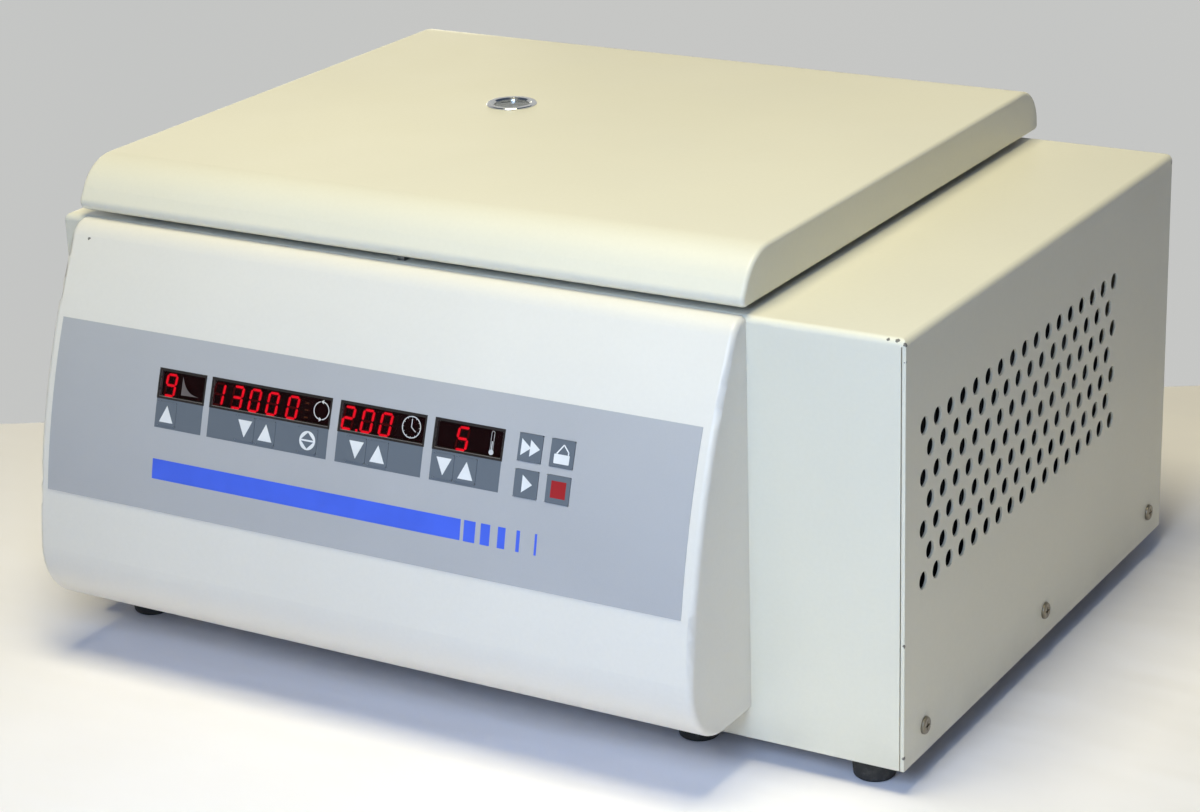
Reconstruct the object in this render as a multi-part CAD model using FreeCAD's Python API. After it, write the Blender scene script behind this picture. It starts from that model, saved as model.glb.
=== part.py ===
import FreeCAD, Part
import math
import os

# Refrigerated benchtop laboratory centrifuge, in millimetres.
# +X runs to the right, +Y to the rear, +Z up. The origin is the middle of the footprint, on the bench.
# "depth" is measured behind the cabinet's front face, "height" above the cabinet's bottom.

os.makedirs("parts", exist_ok=True)

# ---------------------------------------------------------------- driving dimensions
tiny = 0.01                     # tolerance for picking edges by their place
past = 5.0                      # how far a cutting shape runs past the face that it opens
fit_gap = 0.1                   # gap between parts that nest
bearing_play = 0.05             # radial clearance of running fits

# Cabinet
cabinet_width = 550.0
cabinet_depth = 387.0
cabinet_height = 245.0
sheet = 1.5                     # sheet metal thickness
top_bend = 4.0                  # outer radius of the bends round the deck
pan_flange = 26.0
panel_opening = (-230.0, 158.0, 40.0, 215.0)    # behind the front panel: x and height
seam_width = 0.6                # folded seam beside the front right corner
seam_inset = 2.5

# Feet: x, depth
foot_height = 15.0
foot_radius_low = 11.6
foot_radius_high = 13.0
foot_places = ((-249.0, 18.5), (140.0, 18.5), (249.0, 18.5), (249.0, 268.0), (-249.0, 368.0),
               (140.0, 368.0))

# Side screws
screw_depths = (26.3, 195.7, 365.1)
screw_height = 16.7
screw_head_radius = 5.0
screw_head_height = 2.0
screw_shank_radius = 2.0
screw_shank_length = 7.0
recess_arm = 2.75               # half length of the cross recess
recess_half = 0.6
recess_depth = 1.2

# Ventilation grille in the right side
hole_radius = 5.0
hole_pitch = 16.9
hole_rows = 7
holes_per_row = 17
grille_depth = 23.3             # first hole
grille_height = 191.0           # top row

# Louvres in the rear panel
vent_x = 70.0
vent_height = 40.0
vent_rows = 11
vent_columns = 3
vent_slot = 46.0
vent_slot_height = 5.0
vent_gap = 12.0
vent_pitch = 14.0

# Front panel: three tangent arcs in side view
panel_left = -260.0
panel_right = 183.0
panel_wall = 3.0
panel_side_round = 3.5
main_radius = 452.0             # large flat bow that carries the controls
main_centre_depth = 383.0
main_centre_height = 20.0
crest_radius = 14.0
nose_radius = 38.0
nose_bottom = 17.0              # height of the panel's underside

# Keypad: x, and arc length s up the main arc
foil_span = (-253.0, 175.3, 74.8, 178.0)
foil_proud = 0.4
key_proud = 0.7
key_gap = 0.15
key_room = 0.3                  # between a key and its opening in the panel
key_body_depth = 2.2
key_corner = 1.2
window_s = (141.3, 158.4)
window_x = ((-176.9, -143.6), (-139.2, -56.0), (-50.0, 7.2), (13.0, 57.7))
window_ledge = 1.2
arrow_key_s = (125.6, 139.6)
arrow_key_half = 6.5
arrow_keys = {
    "key_profile_up": -168.7,
    "key_speed_down": -113.0,
    "key_speed_up": -98.4,
    "key_speed_mode": -69.4,
    "key_time_down": -36.4,
    "key_time_up": -21.8,
    "key_temp_down": 21.5,
    "key_temp_up": 36.2,
}
square_keys = {
    "key_quick_run": (67.2, 82.1, 143.4, 158.6),
    "key_lid_open": (87.3, 102.1, 143.4, 158.6),
    "key_start": (67.2, 82.1, 123.8, 139.0),
    "key_stop": (87.3, 102.1, 123.8, 139.0),
}
board_s = 141.2                 # where the flat display board is parallel to the panel
board_thickness = 1.6
board_half_height = 28.0
board_margin = 8.0
board_top = main_radius - 13.4
switch_top = main_radius - 3.4
switch_half = 3.0
spacer_half = 2.5
module_top = main_radius - 0.9
module_inset = 2.0

# Lid
lid_left = -261.0
lid_right = 183.0
lid_gap = 4.0                   # lid rim above the deck
lid_top = 33.0                  # lid top above the deck
lid_rear_depth = 396.0
lid_front_low = -6.0            # depth of the front face's line at the rim
lid_front_high = 10.0           # and at the lid's top
lid_front_round = 30.0
lid_rear_round = 25.0
lid_front_rim_round = 5.0
lid_rear_rim_round = 3.0
lid_side_round = 2.5
lid_wall = 3.0
lid_rim = 8.0
liner_height = 9.0              # inner cover above the deck
liner_sheet = 2.0
liner_rim = 9.2
liner_dome_height = 15.0
liner_dome_radius = 126.0
gasket_inner = 136.0
gasket_outer = 144.0

# Viewport
port_x = -96.0
port_depth = 220.0
port_tube_radius = 13.5
port_bore_radius = 11.0
port_flange_radius = 16.4
port_flange_height = 1.2
lens_thickness = 3.6

# Lid hinge and lock
hinge_depth = 380.0
hinge_drop = 10.0               # hinge axis below the deck
hinge_offset = 150.0            # each side of the lid's middle
hinge_pin_radius = 3.0
hinge_head_radius = 4.6
hinge_barrel_wall = 3.2
hinge_arm_width = 22.0
hinge_stem_half = 4.5
hinge_flange_length = 60.0
hinge_flange_thickness = 4.0
cheek = 3.0
cheek_gap = 1.0
bracket_depth = 28.0
bracket_wing = 16.0
washer_radius = 5.0
washer_thickness = 3.4
lock_depth = 16.0
lock_drop = 14.5
lock_block = (-50.0, -6.0)      # bolt block, from the lid's middle
lock_keeper = (5.0, 11.0)
lock_body_below = 14.0
lock_floor = 3.0
bolt_radius = 4.0
bolt_span = (-62.0, -7.0)
bolt_chamfer = 1.2
actuator_radius = 10.0
actuator_length = 48.0
actuator_end = 6.0
striker_half = 1.5
striker_width = 7.5
striker_below = 10.0
striker_window = (5.0, 5.5)

# Emergency release plug in the left side
plug_radius = 6.0
plug_depth = 38.0
plug_height = 150.0
plug_proud = 1.5
plug_length = 13.5
guide_length = 26.0
guide_wall = 2.5

# Rotor chamber
rotor_x = -39.0
rotor_depth = 195.0
bowl_radius = 130.0
bowl_depth = 118.0
bowl_corner = 12.0
flange_radius = 146.0
floor_hole = 22.0
coil_tube_radius = 4.0
coil_pitch = 15.0
coil_turns = 5
foam_radius = 163.0
foam_floor = 20.0
foam_hole = 32.0
armour_wall = 4.0
passage_height = (2.0, 44.0)    # slot for the refrigerant lines, above the bowl's floor
passage_half = 14.0

# Rotor: radii and heights above its underside
rotor_clearance = 16.0          # above the bowl's floor
rotor_radius = 118.0
rotor_rim = (84.0, 90.0)
rotor_dish_start = 26.0
rotor_dish_height = 48.0
hub_height = 52.0
bore_count = 6
bore_radius = 14.75             # for 50 ml tubes
bore_length = 62.0
bore_angle = 35.0               # from the vertical
bore_mouth_radius = 52.0
bore_tip_radius = 6.0
spindle_radius = 8.0
spindle_nose_radius = 4.0
spindle_nose_length = 14.0
knob_radius = 17.0
knob_height = 22.0
knob_lobes = 8
knob_flute_radius = 4.5
knob_flute_centre = 19.2

# Drive
damper_height = 22.0
damper_circle = 66.0
damper_count = 3
motor_plate_thickness = 4.0
motor_plate_radius = 84.0
motor_radius = 52.0
motor_height = 72.0
motor_cavity = (40.0, 12.0, 60.0)
armature = (36.0, 15.0, 57.0)
bearing_radius = 20.0
bearing_height = 8.0
bearing_seats = (3.5, 60.5)
groove_count = 4
groove_pitch = 11.0
groove_height = 5.0

# Cold unit
compressor_x = 203.0
compressor_depth = 308.0
compressor_radius = 60.0
compressor_height = 150.0
compressor_lift = 20.0
compressor_foot = 62.0
mount_offset = 46.0
condenser_x = (236.0, 260.0)
condenser_depth = (16.0, 176.0)
condenser_height = (44.0, 214.0)
fin_count = 30
fin_half = 0.4
condenser_tube_radius = 4.0
condenser_tubes = 7
fan_radius = 64.0
fan_blades = 5
fan_gap = 8.0
fan_hub_radius = 18.0
fan_axle_radius = 3.0
line_radius = 3.2
capillary_radius = 1.6
drier_x = 160.0
drier_depth = 214.0
drier_height = (84.0, 144.0)
drier_radius = 11.0

# Power board and mains entry
board_standoff = 8.0
power_board_depth = (60.0, 320.0)
power_board_height = (40.0, 210.0)
entry_x = -205.0
entry_height = 62.0
entry_body = (46.0, 58.0)
entry_bezel = 3.0
entry_proud = 2.5
entry_body_depth = 30.0
inlet_drop = 14.0
inlet_depth = 17.0
contact_places = ((-7.0, -2.0), (0.0, 2.0), (7.0, -2.0))
rocker_rise = 15.0
rocker_half = (9.6, 11.0)
rocker_axis_depth = 4.0
rocker_tilt = 9.0

# ---------------------------------------------------------------- derived places
X_AXIS = FreeCAD.Vector(1, 0, 0)
Z_AXIS = FreeCAD.Vector(0, 0, 1)
half_width = cabinet_width / 2
nose_centre_height = nose_bottom + nose_radius
crest_centre_height = cabinet_height - crest_radius


def tangent_centre_depth(radius, height):
    """Depth of a small arc's centre so that it touches the main arc from inside."""
    rise = height - main_centre_height
    return main_centre_depth - math.sqrt((main_radius - radius) ** 2 - rise ** 2)


crest_centre_depth = tangent_centre_depth(crest_radius, crest_centre_height)
nose_centre_depth = tangent_centre_depth(nose_radius, nose_centre_height)
nose_reach = nose_radius - nose_centre_depth
front_y = -(lid_rear_depth - nose_reach) / 2
rear_y = front_y + cabinet_depth
base_z = foot_height
deck_z = base_z + cabinet_height
floor_z = base_z + sheet
rotor_y = front_y + rotor_depth
lid_middle = (lid_left + lid_right) / 2
port_y = front_y + port_depth
main_y = front_y + main_centre_depth
main_z = base_z + main_centre_height
hinge_y = front_y + hinge_depth
hinge_z = deck_z - hinge_drop
lock_y = front_y + lock_depth
lock_z = deck_z - lock_drop
plug_y = front_y + plug_depth
plug_z = base_z + plug_height
bowl_floor = deck_z - bowl_depth
rotor_base = bowl_floor + rotor_clearance
hub_top = rotor_base + hub_height
motor_base = floor_z + damper_height + motor_plate_thickness
compressor_y = front_y + compressor_depth
compressor_base = floor_z + compressor_lift
condenser_y = tuple(front_y + depth for depth in condenser_depth)
condenser_z = tuple(base_z + height for height in condenser_height)
fan_y = sum(condenser_y) / 2
fan_z = sum(condenser_z) / 2
fan_front = condenser_x[0] - fan_gap
drier_y = front_y + drier_depth
drier_z = tuple(base_z + height for height in drier_height)
entry_z = base_z + entry_height
entry_face = rear_y + entry_proud
inlet_z = entry_z - inlet_drop


# ---------------------------------------------------------------- helpers
def vec(x, y, z):
    return FreeCAD.Vector(x, y, z)


def box(x0, x1, y0, y1, z0, z1):
    return Part.makeBox(x1 - x0, y1 - y0, z1 - z0, vec(x0, y0, z0))


def rod(radius, start, end):
    """Cylinder from one point to another."""
    run = end - start
    return Part.makeCylinder(radius, run.Length, start, run)


def rod_x(radius, x0, x1, y, z):
    return rod(radius, vec(x0, y, z), vec(x1, y, z))


def upright(radius, x, y, z0, z1):
    return rod(radius, vec(x, y, z0), vec(x, y, z1))


def ring(outer, inner, x, y, z0, z1):
    """Upright ring."""
    return upright(outer, x, y, z0, z1).cut(upright(inner, x, y, z0 - past, z1 + past))


def fuse(shapes):
    return shapes[0].multiFuse(shapes[1:]).removeSplitter()


def cut_all(solid, tools):
    return solid.cut(Part.makeCompound(tools))


def save(name, shape):
    shape.exportStep("parts/" + name + ".step")


def save_group(name, solids):
    save(name, Part.makeCompound(solids))


def outline(corners, place):
    """Closed wire through corners (u, v, radius); place turns (u, v) into a point in space."""
    points = [place(u, v) for u, v, radius in corners]
    count = len(points)
    joins = []
    for i in range(count):
        here = points[i]
        radius = corners[i][2]
        back = (points[i - 1] - here).normalize()
        ahead = (points[(i + 1) % count] - here).normalize()
        half = back.getAngle(ahead) / 2
        if radius == 0:
            joins.append((here, None, here))
            continue
        reach = radius / math.tan(half)
        bisector = (back + ahead).normalize()
        middle = here + bisector * (radius / math.sin(half) - radius)
        joins.append((here + back * reach, middle, here + ahead * reach))
    edges = []
    for i in range(count):
        start, middle, end = joins[i]
        if middle is not None:
            edges.append(Part.Arc(start, middle, end).toShape())
        edges.append(Part.makeLine(end, joins[(i + 1) % count][0]))
    return Part.Wire(edges)


def turned(corners, x, y):
    """Solid of revolution about an upright axis, from corners (radius, height, rounding)."""
    wire = outline(corners, lambda r, z: vec(r, 0, z))
    solid = Part.Face(wire).revolve(vec(0, 0, 0), Z_AXIS, 360)
    solid.translate(vec(x, y, 0))
    return solid


def extruded_x(corners, x0, x1):
    """Prism along X from corners (y, z, rounding)."""
    wire = outline(corners, lambda y, z: vec(x0, y, z))
    return Part.Face(wire).extrude(vec(x1 - x0, 0, 0))


def extruded_y(corners, x, z, y0, y1):
    """Prism along Y from corners (x, z, rounding) about a centre."""
    wire = outline(corners, lambda u, v: vec(x + u, y0, z + v))
    return Part.Face(wire).extrude(vec(0, y1 - y0, 0))


def slab(radius_in, radius_out, x0, x1, s0, s1):
    """Curved slab concentric with the front panel's main arc."""
    def point(radius, s):
        angle = s / main_radius
        return vec(x0, main_y - radius * math.cos(angle), main_z + radius * math.sin(angle))

    middle = (s0 + s1) / 2
    edges = [
        Part.Arc(point(radius_out, s0), point(radius_out, middle), point(radius_out, s1)).toShape(),
        Part.makeLine(point(radius_out, s1), point(radius_in, s1)),
        Part.Arc(point(radius_in, s1), point(radius_in, middle), point(radius_in, s0)).toShape(),
        Part.makeLine(point(radius_in, s0), point(radius_out, s0)),
    ]
    return Part.Face(Part.Wire(edges)).extrude(vec(x1 - x0, 0, 0))


def tilted_box(x0, x1, t0, t1, n0, n1, s):
    """Flat box in the plane tangent to the main arc at s: t up the slope, n from the arc's centre."""
    solid = box(x0, x1, main_y - n1, main_y - n0, main_z + t0, main_z + t1)
    solid.rotate(vec(0, main_y, main_z), X_AXIS, -math.degrees(s / main_radius))
    return solid


def fillet_ends(solid, x_values, radius, skip):
    """Round the outline edges that lie in the planes x = value, apart from those that skip rejects."""
    edges = []
    for edge in solid.Edges:
        span = edge.BoundBox
        flat = span.XLength < tiny
        at_end = min(abs(span.XMin - value) for value in x_values) < tiny
        if flat and at_end and not skip(span):
            edges.append(edge)
    return solid.makeFillet(radius, edges)


def pipe(points, radius):
    """Round tube run with tangent bends through a list of points."""
    bend = 3 * radius
    edges = []
    start = points[0]
    for i in range(1, len(points) - 1):
        corner = points[i]
        back = (points[i - 1] - corner).normalize()
        ahead = (points[i + 1] - corner).normalize()
        half = back.getAngle(ahead) / 2
        reach = bend / math.tan(half)
        middle = corner + (back + ahead).normalize() * (bend / math.sin(half) - bend)
        edges.append(Part.makeLine(start, corner + back * reach))
        start = corner + ahead * reach
        edges.append(Part.Arc(corner + back * reach, middle, start).toShape())
    edges.append(Part.makeLine(start, points[-1]))
    section = Part.Wire(Part.makeCircle(radius, points[0], points[1] - points[0]))
    return Part.Wire(edges).makePipeShell([section], True, True)


# ---------------------------------------------------------------- cabinet
def hinge_notches():
    """Openings in the deck and rear panel that the hinge arms swing through."""
    half = hinge_arm_width / 2 + 1.5
    ahead = 14.0
    below = 9.0
    notches = []
    for side in (-1, 1):
        x = lid_middle + side * hinge_offset
        notches.append(box(x - half, x + half, hinge_y - ahead, rear_y + past, hinge_z - below,
                           deck_z + past))
    return notches


def screw_holes():
    """Clearance holes through the side walls and the pan's flanges."""
    holes = []
    z = base_z + screw_height
    for side in (-1, 1):
        for depth in screw_depths:
            holes.append(rod_x(screw_shank_radius + fit_gap, side * (half_width - 2 * past),
                               side * (half_width + past), front_y + depth, z))
    return holes


def grille_holes():
    """Round holes in staggered rows, each row half a pitch from the next."""
    row_pitch = hole_pitch * math.sin(math.radians(60))
    holes = []
    for row in range(hole_rows):
        staggered = row % 2
        z = base_z + grille_height - row * row_pitch
        for column in range(holes_per_row - staggered):
            y = front_y + grille_depth + (column + staggered / 2) * hole_pitch
            holes.append(rod_x(hole_radius, half_width - past, half_width + past, y, z))
    return holes


def deck_edges(solid, z, rear):
    """The edges round the deck at height z, apart from one along the plane y = rear."""
    edges = []
    for edge in solid.Edges:
        span = edge.BoundBox
        if abs(span.ZMin - z) < tiny and abs(span.YMin - rear) > tiny:
            edges.append(edge)
    return edges


def main_housing():
    """Deck, both sides and the front flanges: one folded sheet, open below and behind."""
    outer = box(-half_width, half_width, front_y, rear_y, base_z, deck_z)
    outer = outer.makeFillet(top_bend, deck_edges(outer, deck_z, rear_y))
    inner = box(-half_width + sheet, half_width - sheet, front_y + sheet, rear_y + past, base_z - past,
                deck_z - sheet)
    inner = inner.makeFillet(top_bend - sheet, deck_edges(inner, deck_z - sheet, rear_y + past))
    shell = outer.cut(inner)

    x0, x1, h0, h1 = panel_opening
    seam_x = half_width - seam_inset
    slot_half = 4.0
    slot_reach = 10.0
    cuts = [
        box(x0, x1, front_y - past, front_y + past, base_z + h0, base_z + h1),
        upright(bowl_radius + 2, rotor_x, rotor_y, deck_z - past, deck_z + past),
        box(lid_middle - slot_half, lid_middle + slot_half, lock_y - slot_reach, lock_y + slot_reach,
            deck_z - past, deck_z + past),
        box(seam_x - seam_width / 2, seam_x + seam_width / 2, front_y - past, front_y + sheet + fit_gap,
            base_z - past, deck_z - top_bend),
        rod_x(plug_radius + 0.3, -half_width - past, -half_width + past, plug_y, plug_z),
    ]
    return cut_all(shell, cuts + hinge_notches() + grille_holes() + screw_holes())


def rear_panel():
    """Back plate with louvres, hinge notches and the mains entry's opening."""
    plate = box(-half_width + sheet + fit_gap, half_width - sheet - fit_gap, rear_y - sheet, rear_y,
                base_z, deck_z - sheet - fit_gap)
    corners = []
    for edge in plate.Edges:
        span = edge.BoundBox
        if span.YLength > sheet - tiny and span.XLength < tiny and span.ZMin > base_z + sheet:
            corners.append(edge)
    plate = plate.makeFillet(top_bend - sheet, corners)
    cuts = hinge_notches()
    for row in range(vent_rows):
        for column in range(vent_columns):
            x = vent_x + column * (vent_slot + vent_gap)
            z = base_z + vent_height + row * vent_pitch
            cuts.append(box(x, x + vent_slot, rear_y - past, rear_y + past, z, z + vent_slot_height))
    half_x, half_z = entry_body[0] / 2, entry_body[1] / 2
    cuts.append(box(entry_x - half_x, entry_x + half_x, rear_y - past, rear_y + past, entry_z - half_z,
                    entry_z + half_z))
    return cut_all(plate, cuts)


def base_pan():
    """Tray with upturned flanges and slots under the compressor."""
    x = half_width - sheet - fit_gap
    y0 = front_y + sheet + fit_gap
    y1 = rear_y - sheet - fit_gap
    tray = box(-x, x, y0, y1, base_z, base_z + pan_flange)
    hollow = box(-x + sheet, x - sheet, y0 + sheet, y1 - sheet, floor_z, base_z + pan_flange + past)
    slot_pitch = 25.0
    slot_half = (35.0, 3.0)
    slots = []
    for row in range(-2, 3):
        y = compressor_y + row * slot_pitch
        slots.append(box(compressor_x - slot_half[0], compressor_x + slot_half[0], y - slot_half[1],
                         y + slot_half[1], base_z - past, base_z + past))
    return cut_all(tray, [hollow] + slots + screw_holes())


def side_screws():
    """Cross-head pan screws, three on each side."""
    screws = []
    for side in (-1, 1):
        out = vec(side, 0, 0)
        for depth in screw_depths:
            centre = vec(side * half_width, front_y + depth, base_z + screw_height)
            crown = centre + out * screw_head_height
            head = rod(screw_head_radius, centre, crown)
            rim = [edge for edge in head.Edges
                   if edge.BoundBox.XLength < tiny and abs(edge.BoundBox.XMin - crown.x) < tiny]
            head = head.makeFillet(screw_head_height * 0.6, rim)
            shank_end = centre - out * screw_shank_length
            screw = head.fuse(rod(screw_shank_radius, shank_end, centre + out * 0.5))
            for half_y, half_z in ((recess_arm, recess_half), (recess_half, recess_arm)):
                recess = box(-recess_depth, recess_depth, -half_y, half_y, -half_z, half_z)
                recess.translate(crown)
                screw = screw.cut(recess)
            screws.append(screw)
    return screws


def feet():
    profile = [
        (0, 0, 0), (foot_radius_low, 0, 2.0), (foot_radius_high, foot_height, 0), (0, foot_height, 0),
    ]
    return [turned(profile, x, front_y + depth) for x, depth in foot_places]


# ---------------------------------------------------------------- front panel and keypad
def panel_outline(inset, x):
    """Side outline of the front panel, moved inwards by inset and closed at the cabinet's front face."""
    def place(depth, height):
        return vec(x, front_y + depth, base_z + height)

    def touch(centre_depth, centre_height):
        """Point where the main arc meets a small arc."""
        run = centre_depth - main_centre_depth
        rise = centre_height - main_centre_height
        scale = (main_radius - inset) / math.hypot(run, rise)
        return place(main_centre_depth + run * scale, main_centre_height + rise * scale)

    def on_arc(centre_depth, centre_height, radius, degrees):
        angle = math.radians(degrees)
        return place(centre_depth - radius * math.cos(angle), centre_height + radius * math.sin(angle))

    crest = (crest_centre_depth, crest_centre_height)
    nose = (nose_centre_depth, nose_centre_height)
    main = (main_centre_depth, main_centre_height)
    top = place(crest_centre_depth, cabinet_height - inset)
    bottom = place(nose_centre_depth, nose_bottom + inset)
    top_rear = place(0, cabinet_height - inset)
    bottom_rear = place(0, nose_bottom + inset)
    edges = [
        Part.makeLine(top_rear, top),
        Part.Arc(top, on_arc(*crest, crest_radius - inset, 60), touch(*crest)).toShape(),
        Part.Arc(touch(*crest), on_arc(*main, main_radius - inset, 15), touch(*nose)).toShape(),
        Part.Arc(touch(*nose), on_arc(*nose, nose_radius - inset, -45), bottom).toShape(),
        Part.makeLine(bottom, bottom_rear),
        Part.makeLine(bottom_rear, top_rear),
    ]
    return Part.Face(Part.Wire(edges))


def key_spans():
    """Outline (x0, x1, s0, s1) of every key, by name."""
    spans = {}
    for name, x in arrow_keys.items():
        spans[name] = (x - arrow_key_half, x + arrow_key_half) + arrow_key_s
    spans.update(square_keys)
    return spans


def grown(span, margin):
    return (span[0] - margin, span[1] + margin, span[2] - margin, span[3] + margin)


def front_fascia():
    """Moulded front panel, hollow and open at the rear, with openings for keys and displays."""
    solid = panel_outline(0, panel_left).extrude(vec(panel_right - panel_left, 0, 0))

    def against_cabinet(span):
        return span.YMin > front_y - 1.5

    solid = fillet_ends(solid, (panel_left, panel_right), panel_side_round, against_cabinet)
    hollow = panel_outline(panel_wall, panel_left + panel_wall)
    hollow = hollow.extrude(vec(panel_right - panel_left - 2 * panel_wall, 0, 0))
    radii = (main_radius - 2 * panel_wall, main_radius + past)
    cuts = [hollow]
    for span in key_spans().values():
        cuts.append(slab(*radii, *grown(span, key_room)))
    for span in window_x:
        cuts.append(slab(*radii, *grown(span + window_s, -window_ledge)))
    return cut_all(solid, cuts)


def control_foil():
    """Printed foil, open round every key and display window."""
    foil = slab(main_radius, main_radius + foil_proud, *foil_span)
    radii = (main_radius - past, main_radius + past)
    cuts = [slab(*radii, *grown(span, key_gap)) for span in key_spans().values()]
    cuts += [slab(*radii, *span, *window_s) for span in window_x]
    return cut_all(foil, cuts)


def display_windows():
    return [slab(main_radius, main_radius + foil_proud, *span, *window_s) for span in window_x]


def display_modules():
    """Digit modules on the board, one behind each window."""
    t0 = window_s[0] - board_s + module_inset
    t1 = window_s[1] - board_s - module_inset
    return [tilted_box(x0 + module_inset, x1 - module_inset, t0, t1, board_top, module_top, board_s)
            for x0, x1 in window_x]


def display_board():
    """Circuit board with a push switch under each key and a spacer at each corner."""
    x0 = window_x[0][0] - board_margin
    x1 = square_keys["key_stop"][1] + board_margin
    solids = [tilted_box(x0, x1, -board_half_height, board_half_height, board_top - board_thickness,
                         board_top, board_s)]

    def post(x, t, half, top):
        return tilted_box(x - half, x + half, t - half, t + half, board_top, top, board_s)

    for span in key_spans().values():
        x = (span[0] + span[1]) / 2
        t = (span[2] + span[3]) / 2 - board_s
        solids.append(post(x, t, switch_half, switch_top))
    inset = board_half_height - spacer_half - 0.5
    for x in (x0 + spacer_half, x1 - spacer_half):
        for t in (-inset, inset):
            solids.append(post(x, t, spacer_half, switch_top - 0.8))
    return solids


def key(span):
    """Key body that slides in the panel, with rounded corners."""
    body = slab(main_radius - key_body_depth, main_radius + key_proud, *span)
    corners = []
    for edge in body.Edges:
        size = edge.BoundBox
        if size.XLength < tiny and size.DiagonalLength < key_body_depth + key_proud + 0.2:
            corners.append(edge)
    return body.makeFillet(key_corner, corners)


# ---------------------------------------------------------------- lid
def lid_shell():
    """Lid casing: a prism with a bowed front and rear, hollow underneath."""
    y0 = front_y
    y1 = front_y + lid_rear_depth
    rim = deck_z + lid_gap
    top = deck_z + lid_top
    outside = [
        (y0 + lid_front_low, rim, lid_front_rim_round),
        (y0 + lid_front_high, top, lid_front_round),
        (y1, top, lid_rear_round),
        (y1, rim, lid_rear_rim_round),
    ]
    solid = extruded_x(outside, lid_left, lid_right)

    def underneath(span):
        return span.ZMax < rim + tiny

    solid = fillet_ends(solid, (lid_left, lid_right), lid_side_round, underneath)
    ceiling = top - lid_wall
    inside = [
        (y0 + lid_rim, rim - past, 0),
        (y0 + lid_rim, ceiling, lid_front_round - 2 * lid_wall),
        (y1 - lid_rim, ceiling, lid_rear_round - lid_wall),
        (y1 - lid_rim, rim - past, 0),
    ]
    hollow = extruded_x(inside, lid_left + lid_wall, lid_right - lid_wall)
    port = upright(port_tube_radius + fit_gap, port_x, port_y, deck_z, top + past)
    return solid.cut(hollow).cut(port)


def lid_liner():
    """Inner cover of the lid: a flat tray with a raised round centre over the rotor."""
    low = deck_z + liner_height
    high = deck_z + liner_dome_height
    side = lid_wall + 0.4
    near = front_y + liner_rim
    far = front_y + lid_rear_depth - liner_rim
    plate = box(lid_left + side, lid_right - side, near, far, low, low + liner_sheet)
    plate = plate.cut(upright(liner_dome_radius, rotor_x, rotor_y, low - past, low + past))
    outer = liner_dome_radius + liner_sheet
    wall = ring(outer, liner_dome_radius, rotor_x, rotor_y, low, high + liner_sheet)
    cap = upright(outer, rotor_x, rotor_y, high, high + liner_sheet)
    hole = upright(port_tube_radius + fit_gap, port_x, port_y, low - past, high + past)
    return fuse([plate, wall, cap]).cut(hole)


def lid_gasket():
    low = deck_z + sheet + 0.15
    high = deck_z + liner_height
    lip = 1.5
    profile = [(gasket_inner, low, lip), (gasket_outer, low, lip), (gasket_outer, high, 0),
               (gasket_inner, high, 0)]
    return turned(profile, rotor_x, rotor_y)


def viewport_ring():
    """Flanged tube through the lid and its liner."""
    top = deck_z + lid_top
    low = deck_z + liner_dome_height
    crown = top + port_flange_height
    profile = [(port_bore_radius, low, 0), (port_tube_radius, low, 0), (port_tube_radius, top, 0),
               (port_flange_radius, top, 0.4), (port_flange_radius - 1.2, crown, 0.5),
               (port_bore_radius + 1.4, crown, 0.3), (port_bore_radius, top + 0.2, 0)]
    return turned(profile, port_x, port_y)


def viewport_lens():
    top = deck_z + lid_top - 0.4
    return upright(port_bore_radius - fit_gap, port_x, port_y, top - lens_thickness, top)


def lid_striker():
    """Flat catch under the lid's front edge with a window for the lock bolt."""
    foot = deck_z + liner_height
    plate = box(lid_middle - striker_half, lid_middle + striker_half, lock_y - striker_width,
                lock_y + striker_width, lock_z - striker_below, foot)
    lower = []
    for edge in plate.Edges:
        span = edge.BoundBox
        if span.XLength > striker_half and span.ZMax < lock_z - striker_below + tiny:
            lower.append(edge)
    plate = plate.makeFillet(3.0, lower)
    base_half = 12.0
    base = box(lid_middle - base_half, lid_middle + base_half, lock_y - striker_width + fit_gap,
               lock_y + 14, foot - 3, foot)
    half_y, half_z = striker_window
    window = box(lid_middle - past, lid_middle + past, lock_y - half_y, lock_y + half_y,
                 lock_z - half_z, lock_z + half_z)
    return fuse([plate, base]).cut(window)


def hinge_places():
    return [lid_middle - hinge_offset, lid_middle + hinge_offset]


def hinge_arms():
    """Arms that carry the lid: a flange under the liner, a stem and a barrel."""
    solids = []
    foot = deck_z + liner_height
    for x in hinge_places():
        x0 = x - hinge_arm_width / 2
        x1 = x + hinge_arm_width / 2
        barrel = rod_x(hinge_pin_radius + hinge_barrel_wall, x0, x1, hinge_y, hinge_z)
        stem = box(x0, x1, hinge_y - hinge_stem_half, hinge_y + hinge_stem_half, hinge_z, foot)
        flange = box(x0, x1, hinge_y - hinge_flange_length, hinge_y + hinge_stem_half,
                     foot - hinge_flange_thickness, foot)
        bore = rod_x(hinge_pin_radius + bearing_play, x0 - past, x1 + past, hinge_y, hinge_z)
        solids.append(fuse([barrel, stem, flange]).cut(bore))
    return solids


def hinge_brackets():
    """Brackets under the deck: a web, two cheeks that hold the pin, and wings for the screws."""
    solids = []
    half = hinge_arm_width / 2 + cheek_gap
    low = hinge_z - 14
    high = deck_z - sheet
    front = hinge_y - bracket_depth
    back = hinge_y + 5.2
    for x in hinge_places():
        parts = [box(x - half - cheek, x + half + cheek, front, front + cheek, low, high)]
        for hand in (-1, 1):
            inner = x + hand * half
            outer = inner + hand * cheek
            wing = inner + hand * bracket_wing
            parts.append(box(min(inner, outer), max(inner, outer), front, back, low, high))
            parts.append(box(min(inner, wing), max(inner, wing), front, back, high - 2.5, high))
        bore = rod_x(hinge_pin_radius, x - 2 * half, x + 2 * half, hinge_y, hinge_z)
        solids.append(fuse(parts).cut(bore))
    return solids


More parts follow.
